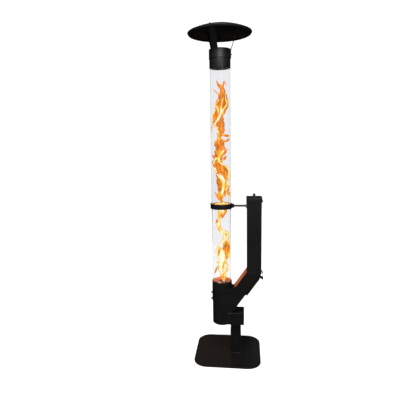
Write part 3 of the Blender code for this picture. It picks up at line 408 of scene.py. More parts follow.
def braid():
    """Off-white glass fibre: strand shadows from a fine weave, browned by the heat in places."""
    rope = Finish("glass_fibre_rope", Sheen_Weight=0.3)
    at = rope.place()
    scorch = rope.noise(at, 35.0, 4.0)
    fibre = rope.noise(rope.place((1200.0, 1200.0, 5200.0)), 1.0, 3.0)
    return rope.drive(
        Base_Color=rope.blend(scorch * 0.6 + fibre * 0.4, (0.40, 0.36, 0.30, 1.0), (0.12, 0.095, 0.07, 1.0)),
        Roughness=0.86 + fibre * 0.1,
        Normal=rope.relief(fibre, 0.0002, 0.9),
    )


ROPE = braid()


def rope_ring(name, radius, thick, height, twists=36):
    """A ring of four strand rope: the cord's own radius swells with cos(4 (twists * round + about))."""
    about = 2 * np.pi * np.arange(16) / 16
    round_tube = 2 * np.pi * np.arange(432) / 432
    r, a = np.meshgrid(round_tube, about, indexing="ij")
    swell = thick / 2 * (0.90 + 0.10 * np.cos(twists * 4 * r + 4 * a))
    out = radius + swell * np.cos(a)
    grid = np.stack([TUBE_X + out * np.cos(r), out * np.sin(r), height + swell * np.sin(a)], axis=-1)
    return skin(name, grid, ROPE, "stand", wrap=(True, True), seam=80.0)


ROPE_GAP = 0.0003
for gasket in ("gasket_foot", "gasket_below_ring", "gasket_above_ring", "gasket_top"):
    lowest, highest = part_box(gasket)
    thick = highest[2] - lowest[2]
    ring = rope_ring(
        gasket.replace("gasket", "rope"),
        (highest[0] - lowest[0]) / 2 - thick / 2 - ROPE_GAP,
        thick,
        (highest[2] + lowest[2]) / 2,
    )
    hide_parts(gasket)

# Flame tubes: two clear borosilicate glass tubes, drawn to size, their ends cut and fire polished.
# The glass is very faintly grey, with slow waves from drawing and a thin bloom of smoke.


def clear_glass():
    glass = Finish(
        "borosilicate_glass",
        Transmission_Weight=1.0,
        IOR=1.30,
        Base_Color=(0.885, 0.886, 0.900, 1.0),
    )
    at = glass.place((1.0, 1.0, 0.25))
    wave = glass.noise(at, 22.0, 2.0)
    bloom = glass.noise(glass.place(), 14.0, 5.0)
    return glass.drive(
        Roughness=bloom ** 3.0 * 0.015,
        Normal=glass.relief(wave, 0.0004, 0.25),
    )


GLASS = clear_glass()
GLASS_WALL = 0.0035
for which in ("lower", "upper"):
    lowest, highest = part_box(f"{which}_glass")
    outer = (highest[0] - lowest[0]) / 2
    inner = outer - GLASS_WALL
    ends = [(inner, lowest[2]), (inner, highest[2]), (outer, highest[2]), (outer, lowest[2])]
    wall = eased(ends, 0.0015, 6)
    tube = skin(
        f"{which}_flame_tube", put(turned(wall, 144), TUBE_AXIS), GLASS, "stand",
        wrap=(True, True),
    )
    tube.visible_shadow = False  # clear glass lets the light through
    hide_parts(f"{which}_glass")

# Coupling ring: machined steel with an eased edge top and bottom, holding the two tubes end to end.
# Its bore stays bare and goes brown, because the flame passes through it. The brown also holds painted
# firelight, the orange glow of the flame on the bore.
ring_low, ring_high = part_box("coupling_ring")
ring_outer = (ring_high[0] - ring_low[0]) / 2
WEB_BORE, WEB_THICK = 0.0560, 0.003  # the ledge inside a fitting, which the ropes press on
ring_bore_low, ring_bore_high, ring_brown_and_lit = 0.0640, 0.0653, 0.0662
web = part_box("gasket_below_ring")[1][2] + ROPE_GAP
ring_profile = eased([
    (ring_bore_low, ring_low[2]),
    (ring_bore_low, web),
    (WEB_BORE, web),
    (WEB_BORE, web + WEB_THICK),
    (ring_bore_high, web + WEB_THICK),
    (ring_bore_high, ring_high[2]),
    (ring_outer, ring_high[2]),
    (ring_outer, ring_low[2]),
], 0.0012)
coupler = skin(
    "turned_coupling_ring",
    put(turned(ring_profile, 144), TUBE_AXIS),
    fired_and_firelit_bore("coupling_coat", ring_brown_and_lit),
    "stand",
    wrap=(True, True),
)
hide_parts("coupling_ring")

# Collar and strap band: two rolled sleeves, the band slipped over the collar and beaded at its foot.
SHEET = 0.0015
band_low, band_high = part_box("strap_band")
collar_low, collar_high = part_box("glass_collar")
collar_outer = (collar_high[0] - collar_low[0]) / 2
collar_inner = collar_outer - SHEET
collar_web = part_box("gasket_top")[1][2] + ROPE_GAP
collar_profile = eased([
    (collar_inner, collar_low[2]),
    (collar_inner, collar_web),
    (WEB_BORE, collar_web),
    (WEB_BORE, collar_web + WEB_THICK),
    (collar_inner, collar_web + WEB_THICK),
    (collar_inner, collar_high[2]),
    (collar_outer, collar_high[2]),
    (collar_outer, collar_low[2]),
], 0.0007)
cap = skin(
    "rolled_collar", put(turned(collar_profile, 144), TUBE_AXIS), SATIN_BLACK, "stand",
    wrap=(True, True),
)
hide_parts("glass_collar")
band_outer = (band_high[0] - band_low[0]) / 2
band_wall, bead_proud = 0.0017, 0.0011
band_inner, bead_crest = band_outer - band_wall, band_outer + bead_proud
band_profile = eased([
    (band_inner, band_low[2]),
    (band_inner, band_high[2]),
    (band_outer, band_high[2]),
    (band_outer, band_low[2] + 0.0052),
    (bead_crest, band_low[2] + 0.0040),
    (bead_crest, band_low[2] + 0.0012),
    (band_outer, band_low[2]),
], 0.0008)
belt = skin(
    "beaded_band", put(turned(band_profile, 144), TUBE_AXIS), SATIN_BLACK, "stand",
    wrap=(True, True),
)
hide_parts("strap_band")

# Reflector: a disc of steel spun into a shallow dome on a lathe, with a lip turned down at its rim. The
# tool leaves fine rings, and the underside has a faint brown bloom from the heat.
dish_low, dish_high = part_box("reflector_dish")
dish_radius = (dish_high[0] - dish_low[0]) / 2
dome_rise, lip_drop, lip_thick, lip_lean = 0.046, 0.0080, 0.0025, 0.0040
rim_plane = dish_low[2] + lip_drop
centre_hole, arc_short, shoulder = 0.004, 0.0075, 0.0018
across = np.linspace(0.0, 1.0, 40)
arc_radius = centre_hole + (dish_radius - arc_short) * across
under = rim_plane + dome_rise * (1 - (arc_radius / dish_radius) ** 2)
bend_about = np.radians(np.linspace(-180.0, 0.0, 9))
fold = lip_thick / 2
shoulder_about = np.radians(np.linspace(0.0, 90.0, 6))
lip = np.concatenate([
    [(dish_radius - lip_thick, rim_plane - 0.0002)],
    np.stack([
        dish_radius - lip_lean - fold + fold * np.cos(bend_about),
        dish_low[2] + fold + fold * np.sin(bend_about),
    ], axis=-1),
    np.stack([
        dish_radius - shoulder + shoulder * np.cos(shoulder_about),
        rim_plane - 0.0003 + shoulder * np.sin(shoulder_about),
    ], axis=-1),
])
dish_profile = np.concatenate([
    np.stack([arc_radius, under], axis=-1),
    lip,
    np.stack([arc_radius, under + SHEET], axis=-1)[::-1],
])


def spun_coat():
    """Satin coat over tool rings: relief repeats every 3 mm of distance from the tube's axis."""
    coat = Finish("spun_satin_coat", Specular_IOR_Level=0.30)
    at = coat.place()
    level = coat.node("VectorMath", {"operation": "MULTIPLY"}, {0: at, 1: (1.0, 1.0, 0.0)})
    from_axis = coat.node("VectorMath", {"operation": "DISTANCE"}, {0: level, 1: (TUBE_X, 0.0, 0.0)}, 1)
    haze = coat.noise(at, 7.0, 5.0)
    grit = coat.noise(at, 1200.0, 2.0)
    ring = coat.node("Math", {"operation": "SINE"}, {0: from_axis * (2 * np.pi / 0.003)})
    bloom = haze ** 2.0 * (1.0 - from_axis * 3.0)
    body = coat.blend(haze, (0.0022, 0.0021, 0.0020, 1.0), (0.0052, 0.0048, 0.0046, 1.0))
    return coat.drive(
        Base_Color=coat.blend(bloom, body, (0.016, 0.008, 0.005, 1.0)),
        Roughness=0.36 + haze * 0.14 + grit * 0.04,
        Normal=coat.relief(grit + ring * 0.35, 0.00012, 0.35, coat.soft_edges(0.0008)),
    )


dome = skin(
    "spun_reflector", put(turned(dish_profile, 192), TUBE_AXIS), spun_coat(), "stand",
    seam=40.0,
)
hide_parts("reflector_dish")

# Straps: three flat bars rolled to the band at the foot, bent smoothly outwards and laid flat under
# the dome, with a pan head screw at each end.


def strap_grid(angle, foot, lift, bend, top, tab, rim, wide=0.044, thick=0.002):
    """The strap's section, an arc of even width, carried along an eased path of radius and height.

    Across the strap, half = wide / 2 / radius and the angle runs from -half to half; the path's own
    normal gives the thickness. The section is a flat superellipse, so its two long edges are rounded.
    """
    def dome_height(r):
        return rim + dome_rise * (1 - (r / dish_radius) ** 2) - SHEET

    path = eased([
        foot, (foot[0], foot[1] + lift), (top, dome_height(top)), (top + tab, dome_height(top + tab)),
    ], bend, 9, closed=False)
    step = np.gradient(path, axis=0)
    step /= np.linalg.norm(step, axis=1, keepdims=True)
    normal = np.stack([step[:, 1], -step[:, 0]], axis=-1)
    about = 2 * np.pi * np.arange(32) / 32
    across_arc = np.sign(np.cos(about)) * np.abs(np.cos(about)) ** 0.25
    through = np.sign(np.sin(about)) * np.abs(np.sin(about)) ** 0.55 * thick / 2
    radius = path[:, :1] + normal[:, :1] * through
    height = path[:, 1:] + normal[:, 1:] * through
    bearing = angle + across_arc * wide / 2 / path[:, :1]
    return np.stack([TUBE_X + radius * np.cos(bearing), radius * np.sin(bearing), height], axis=-1)


strap_angles = np.radians([7.0, 127.0, 247.0])
strap_proud, strap_raised = 0.0013, 0.0060
strap_foot = (band_outer + strap_proud, band_low[2] + strap_raised)
for number, angle in enumerate(strap_angles, 1):
    strap = skin(
        f"bent_strap_{number}",
        strap_grid(
            angle, strap_foot, lift=0.0465, bend=0.012, top=0.115, tab=0.025, rim=rim_plane
        ),
        SATIN_BLACK,
        "stand",
        seam=50.0,
    )
    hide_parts(f"reflector_strap_{number}")


def socket_head(shape, angle):
    """Inside the recess the radius follows a hexagon: r / cos(a - nearest flat's bearing)."""
    flat = (angle + np.pi / 6) % (np.pi / 3) - np.pi / 6
    six = shape[:, :1] / np.cos(flat) * 0.93
    return np.where(shape[:, :1] < 0.0019, six, shape[:, :1] * np.ones(len(angle)))


head_curve = np.linspace(0.0, np.pi / 2, 9)
pan_profile = np.concatenate([
    [(0.0025, -0.0072), (0.0025, 0.0), (0.0048, 0.0)],
    np.stack([0.0030 + 0.0020 * np.cos(head_curve), 0.0004 + 0.0022 * np.sin(head_curve)], axis=-1),
    [(0.0018, 0.0026), (0.0017, 0.0024), (0.0016, 0.0009), (0.0002, 0.0007)],
])
band_seat, dome_lean, dome_seat = 0.0723, 0.290, 0.0023
for number, angle in enumerate(strap_angles, 1):
    out = np.array([np.cos(angle), np.sin(angle), 0.0])
    for end in ("low", "top"):
        lowest, highest = (np.array(c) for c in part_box(f"strap_screw_{end}_{number}"))
        middle = (lowest + highest) / 2
        if end == "low":
            axis = Vector(out)
            at = np.array([TUBE_X, 0.0, middle[2]]) + out * band_seat
        else:
            axis = Vector((*(out[:2] * dome_lean), 1.0)).normalized()
            at = middle + np.array(axis) * dome_seat
        turn = axis.to_track_quat("Z", "Y").to_matrix().to_4x4()
        screw = skin(
            f"pan_screw_{end}_{number}",
            put(turned(pan_profile, 48, socket_head), Matrix.Translation(at) @ turn),
            DARK_ZINC,
            "stand",
            seam=28.0,
        )
        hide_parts(f"strap_screw_{end}_{number}")

# Hopper and chute: folded steel tube in the satin coat, welded along the mitre. The weld is a row of
# small overlapping ripples under the coat.
finish_with(SATIN_BLACK, "hopper", "feed_chute", "chute_gusset", "hatch_frame", "chute_hatch")
finish_with(SATIN_BLACK, "hopper_lid")
finish_with(SATIN_BLACK, "lid_hinge_leaf", "lid_hinge_wing", "brace_lug", "brace_flange")
finish_with(ZINC, "hatch_pin", "lid_hinge_pin")


def closed_path(corners, radius, count):
    """Even steps along an outline in two directions whose corners are eased."""
    line = eased(corners, radius, 6)
    line = np.concatenate([line, line[:1]])
    run = np.concatenate([[0.0], np.cumsum(np.linalg.norm(np.diff(line, axis=0), axis=1))])
    at = np.linspace(0.0, run[-1], count, endpoint=False)
    return np.stack([np.interp(at, run, line[:, 0]), np.interp(at, run, line[:, 1])], axis=-1), run[-1]


def weld_bead(name, path, size, pitch, length, depth=0.12):
    """A round cord along a closed path in space, whose radius ripples once every pitch."""
    ahead = np.roll(path, -1, axis=0) - np.roll(path, 1, axis=0)
    ahead /= np.linalg.norm(ahead, axis=1, keepdims=True)
    side = np.cross(ahead, np.array([0.0, 0.0, 1.0]) + 0.001)
    side /= np.linalg.norm(side, axis=1, keepdims=True)
    up = np.cross(side, ahead)
    about = 2 * np.pi * np.arange(10) / 10
    s = np.arange(len(path)) / len(path) * round(length / pitch)
    ripple = size * (1.0 - depth + depth * np.abs(np.sin(np.pi * s)))[:, None, None]
    ring = np.cos(about)[None, :, None] * side[:, None] + np.sin(about)[None, :, None] * up[:, None]
    return skin(name, path[:, None] + ring * ripple, SATIN_BLACK, "stand", (True, True), 80.0)


hopper_low, hopper_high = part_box("hopper")
chute_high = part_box("feed_chute")[1]
hopper_mid = (hopper_low[0] + hopper_high[0]) / 2
hopper_wide, hopper_deep = hopper_high[0] - hopper_low[0], hopper_high[1] - hopper_low[1]
seam_out, seam_in = 0.0001, 0.0002
elbow_left, elbow_right = chute_high[2] + seam_out, hopper_low[2] - seam_out
half_x, half_y = hopper_wide / 2 - seam_in, hopper_deep / 2 - seam_in
seam_line, seam_length = closed_path(
    [(-half_x, -half_y), (half_x, -half_y), (half_x, half_y), (-half_x, half_y)], 0.007, 720
)
share = (seam_line[:, :1] + half_x) / (2 * half_x)
seam_path = np.concatenate([
    seam_line + [hopper_mid, 0.0], elbow_left + (elbow_right - elbow_left) * share
], axis=1)
weld_bead("mitre_weld", seam_path, size=0.0013, pitch=0.0042, length=seam_length)

# Handle of the hatch: a strip of steel with two round bends, spot welded to the hatch.
chute_slope = np.radians(55.0)
rise, run = np.sin(chute_slope), np.cos(chute_slope)
strip_half_wide, strip_half_thick = 0.030, 0.00125
elbow = hopper_wide * run + (elbow_right - elbow_left) * rise
bends = eased([
    (0.0963, elbow - 0.0324),
    (0.1235, elbow - 0.0314),
    (0.0995, elbow + 0.0009),
    (0.0864, elbow + 0.0052),
], 0.0045, 7, closed=False)
line = np.stack([
    hopper_low[0] + bends[:, 0] * rise + bends[:, 1] * run,
    elbow_left - bends[:, 0] * run + bends[:, 1] * rise,
], axis=-1)
step = np.gradient(line, axis=0)
step /= np.linalg.norm(step, axis=1, keepdims=True)
out = np.stack([-step[:, 1], step[:, 0]], axis=-1)
about = 2 * np.pi * np.arange(28) / 28
along_y = np.sign(np.cos(about)) * np.abs(np.cos(about)) ** 0.2 * strip_half_wide
through = np.sign(np.sin(about)) * np.abs(np.sin(about)) ** 0.5 * strip_half_thick
grip = skin(
    "bent_handle",
    np.stack([
        line[:, :1] + out[:, :1] * through,
        np.ones((len(line), 1)) * along_y,
        line[:, 1:] + out[:, 1:] * through,
    ], axis=-1),
    SATIN_BLACK,
    "hatch_body",
    seam=50.0,
)
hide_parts("hatch_handle")

# Seals under the lid and the hatch: black silicone strip, matt, with a faint bloom and mould grain.


def silicone():
    strip = Finish("black_silicone", Specular_IOR_Level=0.4)
    bloom = strip.noise(strip.place(), 55.0, 5.0)
    grain = strip.noise(strip.place(), 2200.0, 2.0)
    return strip.drive(
        Base_Color=strip.blend(bloom, (0.010, 0.010, 0.010, 1.0), (0.028, 0.028, 0.028, 1.0)),
        Roughness=0.62 + bloom * 0.2,
        Normal=strip.relief(grain, 0.0001, 0.5),
    )


finish_with(silicone(), "lid_seal", "hatch_seal")

# Lid knob: moulded black phenolic, a plain round grip that swells a little above its foot, glossy,
# with faint flow lines.
knob_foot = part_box("lid_knob")[0][2]
knob_profile = eased([
    (0.0084, 0.0),
    (0.0075, 0.0030),
    (0.0075, 0.0082),
    (0.0081, 0.0115),
    (0.0090, 0.0158),
    (0.0085, 0.0202),
    (0.0056, 0.0234),
    (0.0020, 0.0240),
], 0.0030, 6, closed=False)


def phenolic():
    knob = Finish("black_phenolic", Specular_IOR_Level=0.5, Coat_Weight=0.3, Coat_Roughness=0.15)
    flow = knob.noise(knob.place((1.0, 1.0, 0.2)), 160.0, 4.0)
    dust = knob.noise(knob.place(), 900.0, 3.0)
    return knob.drive(
        Base_Color=knob.blend(flow, (0.006, 0.006, 0.006, 1.0), (0.016, 0.015, 0.014, 1.0)),
        Roughness=0.20 + flow * 0.10 + dust * 0.06,
        Normal=knob.relief(flow, 0.0002, 0.12),
    )


knob = skin(
    "moulded_knob",
    put(turned(knob_profile, 96), Matrix.Translation((hopper_mid, 0.0, knob_foot))),
    phenolic(),
    "hopper_lid_body",
)
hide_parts("lid_knob")

# Brace: a round steel bar from a lug on the coupling ring to a flange on the hopper, with a small
# fillet weld at each end.
rod_low, rod_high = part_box("brace_rod")
brace_z = (rod_low[2] + rod_high[2]) / 2
rod_long = rod_high[0] - rod_low[0]
rod_profile = [(0.0070, 0.0), (0.0094, 0.0002), (0.0088, 0.0014), (0.0070, 0.0030), (0.0065, 0.0042)]
rod_profile += [(0.0065, at) for at in np.linspace(0.01, rod_long - 0.01, 12)]
rod_profile += [(r, rod_long - h) for r, h in rod_profile[4::-1]]
bar = skin(
    "welded_brace",
    put(
        turned(rod_profile, 48),
        Matrix.Translation((rod_low[0], 0.0, brace_z)) @ Matrix.Rotation(np.pi / 2, 4, "Y"),
    ),
    SATIN_BLACK,
    "stand",
)
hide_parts("brace_rod")

# Beads, all under the satin coat: sealant run round the post where it stands on the plate, a small weld
# where the ash box sits on the post, and the seam where the top sheet of the ash box is folded over.
post_low, post_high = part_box("post")
ash_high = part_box("ash_box")[1]
post_mid, post_half = (post_low[0] + post_high[0]) / 2, (post_high[0] - post_low[0]) / 2 - 0.0001
burner_clear, bead_steps = 0.0700, 480
seam_start = TUBE_X + burner_clear
seam_mid, seam_half = (seam_start + ash_high[0]) / 2, (ash_high[0] - seam_start) / 2 - 0.0006
ash_deep = ash_high[1] - 0.0006
for bead, middle, half_long, half_deep, z, size, pitch, depth in (
    ("foot_sealant", post_mid, post_half, post_half, post_low[2] + 0.0008, 0.0019, 0.0150, 0.06),
    ("box_weld", post_mid, post_half, post_half, post_high[2] - 0.0006, 0.0012, 0.0040, 0.12),
    ("box_seam", seam_mid, seam_half, ash_deep, ash_high[2] - 0.0006, 0.0013, 0.0300, 0.03),
):
    outline, run_length = closed_path([
        (-half_long, -half_deep),
        (half_long, -half_deep),
        (half_long, half_deep),
        (-half_long, half_deep),
    ], 0.004, bead_steps)
    path = np.concatenate([outline + [middle, 0.0], np.full((bead_steps, 1), z)], axis=1)
    weld_bead(bead, path, size, pitch, run_length, depth)

# The fire: long tongues of flame that climb and cross inside the two tubes. Each tongue is a soft
# tapering body, pale at its heart and dark gold at its edges, and gives off its own light.


def burning():
    """Glow by warmth, a value on the mesh from 0 at a cool edge to 1 in the heart, streaked upwards."""
    fire = Finish("fire", Base_Color=(0.0, 0.0, 0.0, 1.0), Specular_IOR_Level=0.0, Emission_Strength=1.22)
    heat = fire.node("Attribute", {"attribute_name": "warmth"}, {}, 2)
    streak = fire.noise(fire.place((1.0, 1.0, 0.16)), 150.0, 3.0)
    lick = fire.noise(fire.place((1.0, 1.0, 0.4)), 48.0, 4.0)
    glow = heat * 1.08 + (streak - 0.5) * 1.00 + (lick - 0.5) * 1.50
    return fire.drive(Emission_Color=fire.node("ValToRGB", {"stops": [
        (0.0, (0.44, 0.150, 0.010)),
        (0.10, (0.72, 0.200, 0.010)),
        (0.22, (0.86, 0.205, 0.008)),
        (0.36, (0.93, 0.330, 0.018)),
        (0.52, (0.97, 0.590, 0.070)),
        (0.72, (1.0, 0.800, 0.240)),
        (0.92, (1.0, 0.950, 0.620)),
        (1.0, (1.0, 0.970, 0.760)),
    ]}, {"Fac": glow}), Roughness=0.9 + streak * 0.05)


FIRE = burning()
SIGHT = np.array([0.9926, 0.1217, 0.0])  # the flat of the flame runs this way, its depth across it
DEPTH = np.array([0.1217, -0.9926, 0.0])
MM = 0.001
SWAY, SWAY_TURN, RIPPLE_TURN, THINNEST, DEEPEST = 0.007, 39.0, 210.0, 0.0004, 0.011


def smooth_path(points, count):
    """A curve through the points by cubic steps whose slope at each point follows its neighbours."""
    p = np.array(points, dtype=float)
    slope = np.gradient(p, axis=0)
    at = np.linspace(0.0, len(p) - 1.0, count)
    i = np.minimum(at.astype(int), len(p) - 2)
    t = (at - i)[:, None]
    a, b, da, db = p[i], p[i + 1], slope[i], slope[i + 1]
    return (
        (2 * t**3 - 3 * t**2 + 1) * a
        + (t**3 - 2 * t**2 + t) * da
        + (-2 * t**3 + 3 * t**2) * b
        + (t**3 - t**2) * db
    )


def tongue(name, heat, depth, points, reach):
    """A lens-shaped section carried along a smooth path of sideways place, height and half width.

    The section is half width * cos(a) across the path, rippled by a tenth, and half width * 0.55 * sin(a)
    in depth, at most 11 mm; the path sways in depth by 7 mm over each 160 mm of height. Points past the
    reach are drawn back to it. Heat
    is the tongue's own times 1 - |cos(a)|^5, so that only its edges are cool.
    """
    path = smooth_path(np.array(points) * MM, 10 * len(points))
    ahead = np.gradient(path[:, :2], axis=0)
    ahead /= np.linalg.norm(ahead, axis=1, keepdims=True)
    side = np.stack([ahead[:, 1], -ahead[:, 0]], axis=-1)
    about = 2 * np.pi * np.arange(20) / 20
    half = np.maximum(path[:, 2:], THINNEST)
    ripple = 1.0 + 0.10 * np.sin(path[:, 1:2] * RIPPLE_TURN + depth)
    across = half * ripple * np.cos(about)
    x = path[:, :1] + side[:, :1] * across
    z = path[:, 1:2] + side[:, 1:] * across
    sway = depth * MM + SWAY * np.sin(path[:, 1:2] * SWAY_TURN + heat * 9.0)
    y = sway + np.minimum(half * 0.55, DEEPEST) * np.sin(about)
    far = np.maximum(np.hypot(x, y) / reach, 1.0)
    grid = TUBE_AXIS.translation[0] * np.array([1.0, 0, 0]) + (
        (x / far)[..., None] * SIGHT + (y / far)[..., None] * DEPTH + z[..., None] * np.array([0, 0, 1.0])
    )
    piece = skin(name, grid, FIRE, "stand", seam=80.0)
    warm = heat * (1.0 - np.abs(np.cos(about)) ** 5)[None, :] * np.ones((len(path), 1))
    warm = np.concatenate([warm.ravel(), [0.0, 0.0]])
    piece.data.attributes.new("warmth", "FLOAT", "POINT").data.foreach_set("value", warm.astype(np.float32))
    return piece


lower_tongues = [
    (0.9, 12, [
        (14, 511, 2.9), (8, 539, 7.8), (-3, 573, 11.6), (-10, 602, 13.6), (-8, 636, 16.5),
        (0, 669, 20.4), (3, 703, 22.3), (6, 732, 16.5), (16, 756, 6.8), (21, 770, 0.5),
    ]),
    (0.55, 4, [
        (14, 506, 4.8), (6, 544, 12.6), (-8, 583, 9.7), (-21, 607, 7.8), (-18, 631, 7.8),
        (-34, 650, 4.4), (-38, 655, 0.5),
    ]),
    (0.62, 8, [
        (12, 515, 3.9), (19, 559, 9.7), (32, 597, 8.7), (37, 626, 8.2), (24, 655, 8.7),
        (32, 679, 8.2), (48, 708, 9.7), (59, 741, 10.7), (51, 775, 8.7), (38, 804, 8.7),
        (42, 828, 9.7), (42, 847, 8.7), (21, 863, 10.7), (-8, 874, 11.6), (-21, 900, 11.6),
        (-27, 929, 10.7), (-32, 948, 0.5),
    ]),
    (0.68, 14, [
        (-16, 667, 0.5), (-23, 693, 6.8), (-36, 717, 6.8), (-27, 741, 8.7), (-8, 770, 9.7),
        (7, 799, 9.7), (19, 823, 8.7), (16, 842, 7.8), (-3, 864, 7.8), (-13, 891, 7.8),
        (-15, 924, 8.7), (-16, 958, 9.7), (-14, 996, 10.7), (-10, 1025, 10.7), (-7, 1049, 6.8),
        (-3, 1069, 0.5),
    ]),
    (0.3, 2, [
        (12, 660, 0.5), (26, 693, 11.6), (43, 727, 18.4), (33, 761, 22.3), (27, 785, 14.5),
        (30, 804, 0.5),
    ]),
    (0.25, 16, [
        (12, 727, 0.5), (19, 741, 12.6), (27, 761, 16.5), (28, 782, 7.8), (29, 802, 0.5),
    ]),
    (0.24, 0, [
        (-21, 665, 0.5), (-25, 693, 7.8), (-27, 713, 9.7), (-17, 732, 7.8), (-3, 756, 0.5),
    ]),
    (0.24, 1, [
        (-32, 900, 0.5), (-30, 919, 8.7), (-31, 939, 5.8), (-29, 951, 0.5),
    ]),
    (0.3, 6, [
        (4, 948, 0.5), (8, 972, 13.6), (12, 1001, 25.2), (9, 1030, 28.1), (6, 1059, 16.5),
        (7, 1083, 0.5),
    ]),
    (0.72, 10, [
        (12, 977, 0.5), (8, 1001, 7.8), (6, 1025, 9.7), (12, 1049, 5.8), (19, 1069, 0.5),
    ]),
    (0.28, 17, [
        (13, 588, 0.5), (6, 612, 7.8), (8, 631, 6.8), (14, 650, 0.5),
    ]),
    (1.0, 18, [
        (6, 549, 0.5), (-3, 588, 4.8), (-5, 621, 5.8), (3, 660, 7.8), (6, 693, 8.7), (6, 717, 0.5),
    ]),
    (0.26, 9, [
        (21, 814, 0.5), (25, 833, 8.7), (22, 850, 6.8), (12, 852, 0.5),
    ]),
    (0.78, 16, [
        (12, 520, 0.5), (19, 573, 3.9), (28, 607, 4.4), (27, 631, 3.9), (19, 655, 4.4),
        (21, 684, 3.9), (19, 708, 0.5),
    ]),
    (0.2, -3, [
        (-49, 559, 0.5), (-44, 583, 5.8), (-36, 607, 4.8), (-29, 626, 0.5),
    ]),
]
